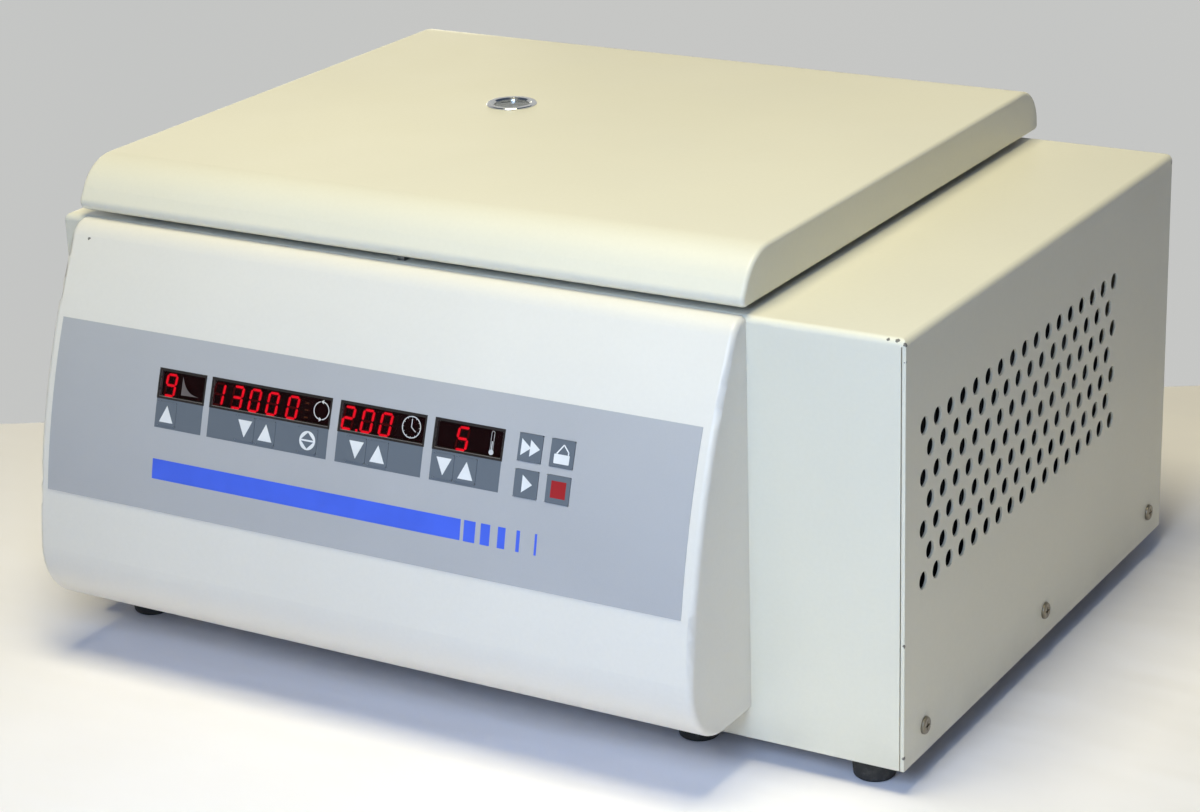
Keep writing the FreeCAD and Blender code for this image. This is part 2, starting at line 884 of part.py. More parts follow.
def hinge_pins():
    """Headed pins with friction washers outside the bracket's cheeks."""
    solids = []
    reach = hinge_arm_width / 2 + 8
    head = 2.0
    outside = hinge_arm_width / 2 + cheek_gap + cheek
    for x in hinge_places():
        pin = rod_x(hinge_pin_radius, x - reach, x + reach, hinge_y, hinge_z)
        cap = rod_x(hinge_head_radius, x - reach - head, x - reach, hinge_y, hinge_z)
        solids.append(fuse([pin, cap]))
        for start in (x - outside - washer_thickness, x + outside):
            disc = rod_x(washer_radius, start, start + washer_thickness, hinge_y, hinge_z)
            hole = rod_x(hinge_pin_radius, start - past, start + 2 * past, hinge_y, hinge_z)
            solids.append(disc.cut(hole))
    return solids


# ---------------------------------------------------------------- lid lock
def lock_housing():
    """U-shaped guide under the deck: the bolt's block, a floor and the keeper beyond the striker."""
    low = lock_z - lock_body_below
    high = deck_z - sheet
    y0 = lock_y - 10.5
    y1 = lock_y + 9.5
    block = box(lid_middle + lock_block[0], lid_middle + lock_block[1], y0, y1, low, high)
    keeper = box(lid_middle + lock_keeper[0], lid_middle + lock_keeper[1], y0, y1, low, high)
    floor = box(lid_middle + lock_block[0], lid_middle + lock_keeper[1], y0, y1, low - lock_floor, low)
    bore = rod_x(bolt_radius + bearing_play, lid_middle + lock_block[0] - past,
                 lid_middle + lock_keeper[1] + past, lock_y, lock_z)
    return fuse([block, keeper, floor]).cut(bore)


def lock_bolt():
    """Round bolt, withdrawn; it slides towards +X through the striker's window."""
    end = lid_middle + bolt_span[1]
    bolt = rod_x(bolt_radius, lid_middle + bolt_span[0], end, lock_y, lock_z)
    tip = [edge for edge in bolt.Edges if edge.BoundBox.XLength < tiny and edge.BoundBox.XMin > end - tiny]
    return bolt.makeChamfer(bolt_chamfer, tip)


def lock_actuator():
    """Solenoid body behind the bolt, open towards it."""
    x1 = lid_middle + lock_block[0]
    x0 = x1 - actuator_length
    body = rod_x(actuator_radius, x0, x1, lock_y, lock_z)
    return body.cut(rod_x(bolt_radius + bearing_play, x0 + actuator_end, x1 + past, lock_y, lock_z))


def release_plug():
    """Emergency lid release: a slotted plug that pulls out of the left side."""
    face = -half_width - plug_proud
    head = rod_x(plug_radius, face, face + plug_length, plug_y, plug_z)
    slot = (3.4, 1.0, 2.7)
    groove = box(face - past, face + slot[2], plug_y - slot[0], plug_y + slot[0], plug_z - slot[1],
                 plug_z + slot[1])
    return head.cut(groove)


def release_guide():
    x0 = -half_width + sheet
    x1 = x0 + guide_length
    body = rod_x(plug_radius + guide_wall, x0, x1, plug_y, plug_z)
    return body.cut(rod_x(plug_radius + bearing_play, x0 - past, x1 - cheek, plug_y, plug_z))


# ---------------------------------------------------------------- rotor chamber
def chamber_bowl():
    """Pressed bowl with a flat flange on the deck and a hole for the spindle."""
    low = bowl_floor
    outer = bowl_radius + sheet
    profile = [
        (floor_hole, low, 0), (outer, low, bowl_corner + sheet), (outer, deck_z, 0),
        (flange_radius, deck_z, 0), (flange_radius, deck_z + sheet, 0), (bowl_radius, deck_z + sheet, 1.2),
        (bowl_radius, low + sheet, bowl_corner), (floor_hole, low + sheet, 0),
    ]
    return turned(profile, rotor_x, rotor_y)


def spindle_seal():
    """Rubber ring in the bowl's floor round the spindle."""
    low = bowl_floor - 3
    lip = bowl_floor + 4.5
    inner = spindle_radius + 1.5
    wide = floor_hole + 2.5
    profile = [
        (inner, low, 0), (wide, low, 0), (wide, bowl_floor, 0), (floor_hole, bowl_floor, 0),
        (floor_hole, bowl_floor + sheet, 0), (wide - 0.5, bowl_floor + sheet, 0), (floor_hole - 2, lip, 0),
        (inner, lip, 0),
    ]
    return turned(profile, rotor_x, rotor_y)


def evaporator_coil():
    """Copper tube wound round the bowl."""
    radius = bowl_radius + sheet + coil_tube_radius + 0.2
    low = bowl_floor + 22
    path = Part.makeHelix(coil_pitch, coil_pitch * coil_turns, radius)
    section = Part.Wire(Part.makeCircle(coil_tube_radius, vec(radius, 0, 0), vec(0, 1, 0)))
    coil = Part.Wire(path.Edges).makePipeShell([section], True, True)
    coil.translate(vec(rotor_x, rotor_y, low))
    return coil


def line_passage():
    """Slot through the insulation and the armour for the refrigerant lines."""
    return box(rotor_x + bowl_radius - 2 * past, rotor_x + foam_radius + 2 * past, rotor_y - passage_half,
               rotor_y + passage_half, bowl_floor + passage_height[0], bowl_floor + passage_height[1])


def insulation():
    """Foam jacket round the bowl and its coil."""
    inner = bowl_radius + sheet + 2 * coil_tube_radius + 0.7
    low = bowl_floor - foam_floor
    under = bowl_floor - 0.3
    high = deck_z - sheet
    profile = [(foam_hole, low, 0), (foam_radius, low, 0), (foam_radius, high, 0), (inner, high, 0),
               (inner, under, 0), (foam_hole, under, 0)]
    return turned(profile, rotor_x, rotor_y).cut(line_passage())


def armour_ring():
    """Steel ring that would hold a broken rotor."""
    inner = foam_radius + 0.3
    return ring(inner + armour_wall, inner, rotor_x, rotor_y, floor_z, deck_z - sheet).cut(line_passage())


def rotor():
    """Fixed-angle rotor: a dished body with slanted tube bores and a socket for the spindle."""
    slope = math.tan(math.radians(bore_angle))
    dish_low = rotor_base + rotor_dish_height
    rim_height = dish_low + (rotor_rim[0] - rotor_dish_start) * slope
    shoulder = rim_height - (rotor_radius - rotor_rim[1]) / slope
    profile = [
        (spindle_radius, rotor_base, 0), (60, rotor_base, 2), (100, rotor_base + 10, 8),
        (rotor_radius, rotor_base + 38, 8), (rotor_radius, shoulder, 6), (rotor_rim[1], rim_height, 3),
        (rotor_rim[0], rim_height, 3), (rotor_dish_start, dish_low, 6), (22, dish_low, 1),
        (20, hub_top, 1.5), (spindle_radius, hub_top, 0),
    ]
    solid = turned(profile, rotor_x, rotor_y)
    tilt = math.radians(bore_angle)
    down = vec(math.sin(tilt), 0, -math.cos(tilt))
    mouth = vec(bore_mouth_radius, 0, dish_low + (bore_mouth_radius - rotor_dish_start) * slope)
    bottom = mouth + down * bore_length
    above = 40.0
    cuts = []
    for i in range(bore_count):
        bore = rod(bore_radius, mouth - down * above, bottom)
        bore = bore.fuse(Part.makeCone(bore_radius, bore_tip_radius, bore_tip_radius, bottom, down))
        bore.rotate(vec(0, 0, 0), Z_AXIS, 360.0 / bore_count * i)
        bore.translate(vec(rotor_x, rotor_y, 0))
        cuts.append(bore)
    return cut_all(solid, cuts)


def drive_spindle():
    """Shaft with the motor's armature; its threaded nose holds the rotor knob."""
    armature_radius, armature_low, armature_high = armature
    return fuse([
        upright(spindle_radius, rotor_x, rotor_y, motor_base + 4, hub_top),
        upright(spindle_nose_radius, rotor_x, rotor_y, hub_top, hub_top + spindle_nose_length),
        upright(armature_radius, rotor_x, rotor_y, motor_base + armature_low, motor_base + armature_high),
        upright(14.0, rotor_x, rotor_y, rotor_base - 5, rotor_base),
    ])


def rotor_knob():
    """Lobed knob that clamps the rotor on the spindle."""
    low = hub_top + 0.2
    top = low + knob_height
    profile = [(0, low, 0), (knob_radius, low, 1), (knob_radius, low + 16, 4), (9, top, 3), (0, top, 0)]
    cuts = [upright(spindle_nose_radius + bearing_play, rotor_x, rotor_y, low - past,
                    hub_top + spindle_nose_length + 1)]
    for i in range(knob_lobes):
        angle = 2 * math.pi * i / knob_lobes
        cuts.append(upright(knob_flute_radius, rotor_x + knob_flute_centre * math.cos(angle),
                            rotor_y + knob_flute_centre * math.sin(angle), low - past, top + past))
    return cut_all(turned(profile, rotor_x, rotor_y), cuts)


# ---------------------------------------------------------------- drive
def motor_dampers():
    """Waisted rubber blocks between the base pan and the motor's plate."""
    profile = [(0, floor_z, 0), (14, floor_z, 1), (10, floor_z + damper_height / 2, 8),
               (14, floor_z + damper_height, 1), (0, floor_z + damper_height, 0)]
    solids = []
    for i in range(damper_count):
        angle = math.pi / 2 + 2 * math.pi * i / damper_count
        solids.append(turned(profile, rotor_x + damper_circle * math.cos(angle),
                             rotor_y + damper_circle * math.sin(angle)))
    return solids


def motor_plate():
    return upright(motor_plate_radius, rotor_x, rotor_y, motor_base - motor_plate_thickness, motor_base)


def drive_motor():
    """Motor casing with seats for the two bearings."""
    top = motor_base + motor_height
    profile = [(0, motor_base, 0), (motor_radius, motor_base, 2), (motor_radius, top, 5), (0, top, 0)]
    casing = turned(profile, rotor_x, rotor_y)
    cavity_radius, cavity_low, cavity_high = motor_cavity
    cavity = upright(cavity_radius, rotor_x, rotor_y, motor_base + cavity_low, motor_base + cavity_high)
    seat = upright(bearing_radius, rotor_x, rotor_y, motor_base + 3, top + past)
    grooves = []
    for i in range(groove_count):
        z = motor_base + 16 + i * groove_pitch
        grooves.append(ring(motor_radius + past, motor_radius - 2, rotor_x, rotor_y, z, z + groove_height))
    return cut_all(casing, grooves).cut(cavity.fuse(seat))


def motor_bearings():
    return [ring(bearing_radius, spindle_radius + bearing_play, rotor_x, rotor_y, motor_base + seat,
                 motor_base + seat + bearing_height) for seat in bearing_seats]


# ---------------------------------------------------------------- cold unit
def compressor():
    """Sealed shell with its weld seam, foot plate and terminal cover."""
    low = compressor_base
    top = low + compressor_height
    x, y = compressor_x, compressor_y
    profile = [(0, low, 0), (compressor_radius, low, 22), (compressor_radius, top, 34), (0, top, 0)]
    shell = turned(profile, x, y)
    seam = ring(compressor_radius + 2, compressor_radius - 4, x, y, low + 74, low + 78)
    foot = compressor_foot
    plate = box(x - foot, x + foot, y - foot, y + foot, low - 3, low)
    cover_front = y - compressor_radius
    terminals = box(x - 22, x + 22, cover_front - 12, cover_front + 8, low + 55, low + 105)
    corners = []
    for side in (-1, 1):
        for end in (-1, 1):
            corner = box(-12, 12, -12, 12, low - past, low + past)
            corner.rotate(vec(0, 0, 0), Z_AXIS, 45)
            corner.translate(vec(x + side * (foot + 2), y + end * (foot + 2), 0))
            corners.append(corner)
    return cut_all(fuse([shell, seam, plate, terminals]), corners)


def compressor_mounts():
    top = compressor_base - 3
    profile = [(0, floor_z, 0), (10, floor_z, 1), (8, floor_z + 8, 3), (10, top, 1), (0, top, 0)]
    solids = []
    for side in (-1, 1):
        for end in (-1, 1):
            x = compressor_x + side * mount_offset
            y = compressor_y + end * mount_offset
            solids.append(turned(profile, x, y))
    return solids


def condenser():
    """Finned block: thin plates on crossing tubes between two end plates."""
    x0, x1 = condenser_x
    y0, y1 = condenser_y
    z0, z1 = condenser_z
    plate = 2.0
    parts = [box(x0, x1, y, y + plate, z0, z1) for y in (y0, y1 - plate)]
    for i in range(fin_count):
        y = y0 + plate + (y1 - y0 - 2 * plate) * (i + 0.5) / fin_count
        parts.append(box(x0 + 1, x1 - 1, y - fin_half, y + fin_half, z0 + 4, z1 - 4))
    edge = 14.0
    overhang = 6.0
    for i in range(condenser_tubes):
        z = z0 + edge + i * (z1 - z0 - 2 * edge) / (condenser_tubes - 1)
        x = (x0 + x1) / 2 + (condenser_tube_radius if i % 2 else -condenser_tube_radius)
        parts.append(rod(condenser_tube_radius, vec(x, y0 - overhang, z), vec(x, y1 + overhang, z)))
    return fuse(parts)


def condenser_fan():
    """Five pitched blades on a hub, trimmed round and bored for the motor's axle."""
    hub_x0 = fan_front - 24
    middle = fan_front - 14
    chord_half = 15.0
    blade_half = 1.2
    pitch = 58.0
    parts = [rod_x(fan_hub_radius, hub_x0, fan_front - 4, fan_y, fan_z)]
    for i in range(fan_blades):
        blade = box(-blade_half, blade_half, -chord_half, chord_half, fan_hub_radius - 4, fan_radius - 2)
        blade.rotate(vec(0, 0, 0), Z_AXIS, pitch)
        blade.translate(vec(middle, fan_y, fan_z))
        blade.rotate(vec(middle, fan_y, fan_z), X_AXIS, 360.0 / fan_blades * i)
        parts.append(blade)
    limit = rod_x(fan_radius - 1, hub_x0 - 4 * past, fan_front + 4 * past, fan_y, fan_z)
    bore = rod_x(fan_axle_radius + bearing_play, hub_x0 - past, fan_front - 8, fan_y, fan_z)
    return fuse(parts).common(limit).cut(bore)


def fan_motor():
    """Fan motor on a strap that stands on the base pan."""
    back = fan_front - 70
    leg_x = fan_front - 62
    leg_half = 20.0
    return fuse([
        rod_x(22.0, back, fan_front - 32, fan_y, fan_z),
        rod_x(fan_axle_radius, fan_front - 33, fan_front - 9, fan_y, fan_z),
        box(leg_x, leg_x + 3, fan_y - leg_half, fan_y + leg_half, floor_z, fan_z),
        box(leg_x, leg_x + 22, fan_y - leg_half, fan_y + leg_half, floor_z, floor_z + 3),
    ])


def fan_shroud():
    """Plate with a collar round the fan, and a lug that holds the condenser."""
    x0 = fan_front
    plate = box(x0, x0 + 2, *condenser_y, floor_z, condenser_z[1])
    collar = rod_x(fan_radius + 4, x0 - 22, x0 + 1, fan_y, fan_z)
    lug = box(x0, condenser_x[0], *condenser_y, condenser_z[0], condenser_z[0] + 2)
    opening = rod_x(fan_radius + 2, x0 - 30, x0 + 2 * past, fan_y, fan_z)
    return fuse([plate, collar, lug]).cut(opening)


def refrigerant_lines():
    """Copper runs between the compressor, condenser, drier and evaporator."""
    top = compressor_base + compressor_height
    above = top + 24
    x_tube = sum(condenser_x) / 2 - condenser_tube_radius
    tube_end = condenser_y[1] + 6
    high = condenser_z[1] - 14
    low = condenser_z[0] + 14
    stub = 20.0
    coil_x = rotor_x + 143
    coil_z = bowl_floor + 34
    discharge = pipe([
        vec(compressor_x + stub, compressor_y, top),
        vec(compressor_x + stub, compressor_y, above),
        vec(x_tube, compressor_y - 50, above),
        vec(x_tube, tube_end + 24, high),
        vec(x_tube, tube_end, high),
    ], line_radius)
    liquid = pipe([
        vec(x_tube, tube_end, low),
        vec(x_tube, tube_end + 24, low),
        vec(drier_x, drier_y, low),
        vec(drier_x, drier_y, drier_z[0]),
    ], line_radius)
    suction = pipe([
        vec(compressor_x - stub, compressor_y, top),
        vec(compressor_x - stub, compressor_y, above),
        vec(rotor_x + 184, rotor_y + 40, above),
        vec(rotor_x + 184, rotor_y, coil_z),
        vec(coil_x, rotor_y, coil_z),
    ], line_radius)
    capillary = pipe([
        vec(drier_x, drier_y, drier_z[1]),
        vec(drier_x, drier_y, drier_z[1] + 26),
        vec(rotor_x + 176, rotor_y - 6, coil_z - 14),
        vec(coil_x, rotor_y - 6, coil_z - 14),
    ], capillary_radius)
    return [discharge, liquid, suction, capillary]


def filter_drier():
    low, high = drier_z
    neck = 4.0
    taper = 10.0
    profile = [(0, low, 0), (neck, low, 0), (drier_radius, low + taper, 3), (drier_radius, high - taper, 3),
               (neck, high, 0), (0, high, 0)]
    return turned(profile, drier_x, drier_y)


# ---------------------------------------------------------------- electrics
def power_board():
    """Upright board on the left with its transformer, heat sink and capacitors."""
    wall = -half_width + sheet
    x0 = wall + board_standoff
    face = x0 + board_thickness
    y0, y1 = (front_y + depth for depth in power_board_depth)
    z0, z1 = (base_z + height for height in power_board_height)
    sink_z = (z0 + 80, z1 - 20)
    solids = [
        box(x0, face, y0, y1, z0, z1),
        box(face, face + 44, y0 + 20, y0 + 70, z0 + 10, z0 + 60),
    ]
    sink = [box(face, face + 6, y0 + 20, y0 + 90, *sink_z)]
    for i in range(8):
        y = y0 + 22 + i * 9
        sink.append(box(face + 6, face + 32, y, y + 2.4, *sink_z))
    solids.append(fuse(sink))
    for i in range(3):
        solids.append(rod_x(15.0, face, face + 40, y1 - 30, z0 + 30 + i * 42))
    inset = 6.0
    for y in (y0 + inset, y1 - inset):
        for z in (z0 + inset, z1 - inset):
            solids.append(rod_x(3.0, wall, x0, y, z))
    return solids


def power_entry():
    """Mains entry: an inlet socket below and a switch bay above, in one moulding."""
    half_x, half_z = entry_body[0] / 2, entry_body[1] / 2
    bezel = box(entry_x - half_x - entry_bezel, entry_x + half_x + entry_bezel, rear_y, entry_face,
                entry_z - half_z - entry_bezel, entry_z + half_z + entry_bezel)
    rim = [edge for edge in bezel.Edges if edge.BoundBox.YMin > entry_face - tiny]
    bezel = bezel.makeChamfer(0.8, rim)
    clear = 0.2
    body = box(entry_x - half_x + clear, entry_x + half_x - clear, rear_y - entry_body_depth, rear_y + 0.5,
               entry_z - half_z + clear, entry_z + half_z - clear)
    socket_corners = [(-12, -8, 1), (12, -8, 1), (12, 4, 1), (8, 8, 1), (-8, 8, 1), (-12, 4, 1)]
    socket = extruded_y(socket_corners, entry_x, inlet_z, entry_face - inlet_depth, entry_face + past)
    bay_half = (rocker_half[0] + 0.5, rocker_half[1] + 1.3)
    bay_z = entry_z + rocker_rise
    bay = box(entry_x - bay_half[0], entry_x + bay_half[0], entry_face - 16, entry_face + past,
              bay_z - bay_half[1], bay_z + bay_half[1])
    return fuse([bezel, body]).cut(socket).cut(bay)


def inlet_pins():
    """Three flat contacts that stand on the socket's floor."""
    solids = []
    tip = entry_face - 3
    for dx, dz in contact_places:
        pin = box(entry_x + dx - 1, entry_x + dx + 1, entry_face - inlet_depth, tip, inlet_z + dz - 2,
                  inlet_z + dz + 2)
        ends = [edge for edge in pin.Edges if edge.BoundBox.YMin > tip - tiny]
        solids.append(pin.makeChamfer(0.6, ends))
    return solids


def power_rocker():
    """Two-faced rocker, resting on one half."""
    y0 = entry_face - rocker_axis_depth
    z0 = entry_z + rocker_rise
    half_x, half_z = rocker_half
    back = y0 - 4
    crown = y0 + 3.6
    corners = [(back, z0 - half_z, 1), (crown, z0 - half_z, 1), (y0 + 2.0, z0, 0), (crown, z0 + half_z, 1),
               (back, z0 + half_z, 1)]
    solid = extruded_x(corners, entry_x - half_x, entry_x + half_x)
    solid.rotate(vec(entry_x, y0, z0), X_AXIS, rocker_tilt)
    return solid


# ---------------------------------------------------------------- export
single_parts = (
    base_pan, main_housing, rear_panel, front_fascia, control_foil, lid_shell, lid_liner, lid_gasket,
    viewport_ring, viewport_lens, lid_striker, lock_housing, lock_bolt, lock_actuator, release_plug,
    release_guide, chamber_bowl, spindle_seal, evaporator_coil, insulation, armour_ring, rotor,
    drive_spindle, rotor_knob, motor_plate, drive_motor, compressor, condenser, condenser_fan, fan_motor,
    fan_shroud, filter_drier, power_entry, power_rocker,
)
grouped_parts = (
    side_screws, feet, display_windows, display_modules, display_board, hinge_arms, hinge_brackets,
    hinge_pins, motor_dampers, motor_bearings, compressor_mounts, refrigerant_lines, power_board,
    inlet_pins,
)
for make in single_parts:
    save(make.__name__, make())
for make in grouped_parts:
    save_group(make.__name__, make())
for key_name, key_span in key_spans().items():
    save(key_name, key(key_span))
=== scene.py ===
import math

import bmesh
import bpy
from mathutils import Matrix, Vector


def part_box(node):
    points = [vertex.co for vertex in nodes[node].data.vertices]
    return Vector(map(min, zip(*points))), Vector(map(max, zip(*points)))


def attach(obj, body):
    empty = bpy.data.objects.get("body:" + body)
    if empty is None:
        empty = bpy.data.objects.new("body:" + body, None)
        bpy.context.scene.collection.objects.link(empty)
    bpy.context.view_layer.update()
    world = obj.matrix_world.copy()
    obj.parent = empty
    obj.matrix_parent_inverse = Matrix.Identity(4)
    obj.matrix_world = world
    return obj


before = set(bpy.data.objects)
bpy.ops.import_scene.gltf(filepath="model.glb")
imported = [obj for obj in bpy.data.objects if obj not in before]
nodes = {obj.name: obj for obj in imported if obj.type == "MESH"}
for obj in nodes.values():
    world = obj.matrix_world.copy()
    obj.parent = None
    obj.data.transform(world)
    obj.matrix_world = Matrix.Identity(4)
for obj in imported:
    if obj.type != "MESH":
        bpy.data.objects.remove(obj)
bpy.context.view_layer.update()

# Refrigerated benchtop centrifuge: finishes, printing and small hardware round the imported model.
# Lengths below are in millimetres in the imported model's frame, unless a name says metres.

MM = 0.001

# ---------------------------------------------------------------- places read from the frame
housing_low, housing_high = (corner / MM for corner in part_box("main_housing"))
rotor_low, rotor_high = (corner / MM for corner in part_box("rotor"))
lid_low, lid_high = (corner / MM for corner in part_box("lid_shell"))
liner_low, liner_high = (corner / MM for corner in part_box("lid_liner"))
arms_low, arms_high = (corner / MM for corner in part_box("hinge_arms"))
entry_low, entry_high = (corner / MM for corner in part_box("power_entry"))
bowl_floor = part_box("chamber_bowl")[0].z / MM
knob_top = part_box("rotor_knob")[1].z / MM
rear_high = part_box("rear_panel")[1] / MM

front_y = housing_low.y
base_z = housing_low.z
deck_z = housing_high.z
rotor_x = (rotor_low.x + rotor_high.x) / 2
rotor_y = (rotor_low.y + rotor_high.y) / 2
lid_middle = (lid_low.x + lid_high.x) / 2

# Front panel's main arc: places on it are (x, s), with s the arc length above its lowest level
MAIN_RADIUS = 452.0
MAIN_DEPTH = 383.0
MAIN_HEIGHT = 20.0
main_y = front_y + MAIN_DEPTH
main_z = base_z + MAIN_HEIGHT
FOIL_FACE = MAIN_RADIUS + 0.4
KEY_FACE = MAIN_RADIUS + 0.7
LED_FACE = MAIN_RADIUS - 0.75
INK = 0.05                      # thickness of a printed layer
MASK_INK = 0.07                 # thicker, so that it covers the key fields' edge
SEGMENT_LIFT = 0.06             # from the back of the halos to the back of the segments
LIT_THICKNESS = 0.15
UNLIT_THICKNESS = 0.1
ARC_STEP = 4.0                  # longest straight run round the arc

# ---------------------------------------------------------------- control panel's layout
WINDOW_S = (141.3, 158.4)
FIELD_S = (124.0, 141.25)
WINDOWS = ((-176.9, -143.6), (-139.2, -56.0), (-50.0, 7.2), (13.0, 57.7))
ARROW_S = (127.6, 137.4)
ARROW_HALF = 4.9
UP_KEYS = {"key_profile_up": -168.7, "key_speed_up": -98.4, "key_time_up": -21.8, "key_temp_up": 36.2}
DOWN_KEYS = {"key_speed_down": -113.0, "key_time_down": -36.4, "key_temp_down": 21.5}
KEY_HALF = 6.5
KEY_S = (125.6, 139.6)
KEY_GAP = 0.05
MODE_CENTRE = (-69.4, 132.6)
MODE_RADIUS = 5.4
QUICK_STARTS = (69.0, 74.6)     # left ends of the quick-run key's two triangles
STOP_SQUARE = (90.3, 99.6, 126.8, 136.1)
PADLOCK = (94.7, 146.0)
STRIPE = (-176.0, 36.0, 93.9, 105.7)
BARS = ((38.2, 45.6), (49.0, 55.0), (60.0, 64.8), (71.8, 74.0), (83.4, 84.8))
DIGIT_S = (142.4, 156.1)
DIGIT_STROKE = 1.35
HALO_STROKE = 2.6
SEGMENT_TIP = 0.3               # from a segment's corner of the digit to its pointed end
SEGMENT_SHOULDER = 0.12         # with half its width, from that corner to where it is full width
DIGIT_SLANT = 0.12
DIGIT_WIDTH = 9.4
MASK_LOW = 0.9                  # black border inside each window, at its bottom and right
MASK_HIGH = 1.3                 # at its top and left
MASK_OVERLAP = 0.3              # outside it
POINT = (-38.4, DIGIT_S[0] + 0.8)  # decimal point of the time
POINT_HALF = 0.7
LAMP_X = (-74.4, -71.9)         # three dim lamps beside the speed
LAMP_S = (145.2, 149.4, 153.2)
LAMP_HALF = 0.4
PROFILE_BOX = (-160.1, -147.6, 144.8, 155.4)
RING_CENTRE = (-62.4, 150.6)
CLOCK_CENTRE = (-2.0, 150.6)
BULB_CENTRE = (50.5, 144.9)
DIGITS = (
    ("9", -173.6), ("1", -139.2), ("3", -126.1), ("0", -113.9), ("0", -101.4), ("0", -87.5),
    ("2", -49.3), ("0", -36.6), ("0", -24.3), ("5", 26.1),
)
SEGMENTS = {"0": "abcdef", "1": "bc", "2": "abged", "3": "abgcd", "5": "afgcd", "9": "abcdfg"}


# ---------------------------------------------------------------- mesh helpers
def arc_point(x, s, radius):
    """A place on the front panel, in metres."""
    angle = s / MAIN_RADIUS
    return Vector((x, main_y - radius * math.cos(angle), main_z + radius * math.sin(angle))) * MM


def piece(name, bm, finish, body, crease=35.0):
    """A mesh in the frame's coordinates, riding on a body."""
    bmesh.ops.recalc_face_normals(bm, faces=bm.faces)
    mesh = bpy.data.meshes.new(name)
    bm.to_mesh(mesh)
    bm.free()
    for polygon in mesh.polygons:
        polygon.use_smooth = True
    mesh.set_sharp_from_angle(angle=math.radians(crease))
    mesh.materials.append(finish)
    obj = bpy.data.objects.new(name, mesh)
    bpy.context.scene.collection.objects.link(obj)
    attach(obj, body)


def printed(name, outlines, radius, thickness, finish, body):
    """Flat shapes (x, s) laid on the front panel's arc as a thin curved layer."""
    bm = bmesh.new()
    for outline in outlines:
        verts = [bm.verts.new((x, s, 0)) for x, s in outline]
        bm.faces.new(verts)
    levels = [v.co.y for v in bm.verts]
    level = math.ceil(min(levels) / ARC_STEP) * ARC_STEP
    while level < max(levels):
        geometry = bm.verts[:] + bm.edges[:] + bm.faces[:]
        bmesh.ops.bisect_plane(bm, geom=geometry, plane_co=(0, level, 0), plane_no=(0, 1, 0), dist=1e-5)
        level += ARC_STEP
    bmesh.ops.triangulate(bm, faces=bm.faces)
    raised = bmesh.ops.extrude_face_region(bm, geom=bm.faces[:])["geom"]
    for element in raised:
        if isinstance(element, bmesh.types.BMVert):
            element.co.z = thickness
    for vert in bm.verts:
        vert.co = arc_point(vert.co.x, vert.co.y, radius + vert.co.z)
    piece(name, bm, finish, body)


def rectangle(x0, x1, s0, s1, corner=0.0):
    """Outline with rounded corners."""
    if corner == 0:
        return [(x0, s0), (x1, s0), (x1, s1), (x0, s1)]
    points = []
    steps = 4
    for cx, cs, start in ((x1 - corner, s0 + corner, -90), (x1 - corner, s1 - corner, 0),
                          (x0 + corner, s1 - corner, 90), (x0 + corner, s0 + corner, 180)):
        for i in range(steps + 1):
            angle = math.radians(start + 90 * i / steps)
            points.append((cx + corner * math.cos(angle), cs + corner * math.sin(angle)))
    return points


def sector(centre, outer, inner, start, end, steps=24):
    """Part of a ring between two angles in degrees."""
    angles = [math.radians(start + (end - start) * i / steps) for i in range(steps + 1)]
    out = [(centre[0] + outer * math.cos(a), centre[1] + outer * math.sin(a)) for a in angles]
    back = [(centre[0] + inner * math.cos(a), centre[1] + inner * math.sin(a)) for a in reversed(angles)]
    return out + back


def full_ring(centre, outer, inner):
    return [sector(centre, outer, inner, 0, 180), sector(centre, outer, inner, 180, 360)]


def stroke(start, end, width):
    """A straight bar from one place to another."""
    run = Vector(end) - Vector(start)
    side = Vector((-run.y, run.x)).normalized() * width / 2
    corners = (Vector(start) - side, Vector(end) - side, Vector(end) + side, Vector(start) + side)
    return [(c.x, c.y) for c in corners]


def circle(radius):
    return lambda angle: radius


def hexagon(flat):
    """Radius of a hexagon with that distance from its middle to a flat."""
    def at(angle):
        return flat / math.cos((angle + math.pi / 6) % (math.pi / 3) - math.pi / 6)
    return at


def cross(arm, half):
    """Radius of a cross recess with that arm length and half width."""
    def at(angle):
        near = abs((angle + math.pi / 4) % (math.pi / 2) - math.pi / 4)
        return min(arm / math.cos(near), half / max(math.sin(near), 1e-6))
    return at


def lathe(bm, rings, centre, axis, count=48):
    """Closed body of rings (radius or radius function, height) stacked along an axis."""
    turn = Vector(axis).to_track_quat("Z", "Y").to_matrix()
    rows = []
    for radius, height in rings:
        at = radius if callable(radius) else circle(radius)
        if radius == 0:
            rows.append([bm.verts.new((Vector(centre) + turn @ Vector((0, 0, height))) * MM)])
            continue
        row = []
        for i in range(count):
            angle = 2 * math.pi * i / count
            place = Vector((at(angle) * math.cos(angle), at(angle) * math.sin(angle), height))
            row.append(bm.verts.new((Vector(centre) + turn @ place) * MM))
        rows.append(row)
    for lower, upper in zip(rows, rows[1:]):
        for i in range(count):
            j = (i + 1) % count
            if len(lower) == 1:
                bm.faces.new((lower[0], upper[i], upper[j]))
            elif len(upper) == 1:
                bm.faces.new((lower[i], lower[j], upper[0]))
            else:
                bm.faces.new((lower[i], lower[j], upper[j], upper[i]))


def pan_screw(bm, centre, axis, radius):
    """Domed screw head with a cross recess."""
    high = radius * 0.42
    arm, half = radius * 0.55, radius * 0.13
    lathe(bm, [(0, 0), (radius, 0), (radius, high * 0.4), (radius * 0.9, high * 0.8),
               (radius * 0.7, high), (cross(arm, half), high), (cross(arm * 0.8, half * 0.8), high * 0.35),
               (0, high * 0.3)], centre, axis)


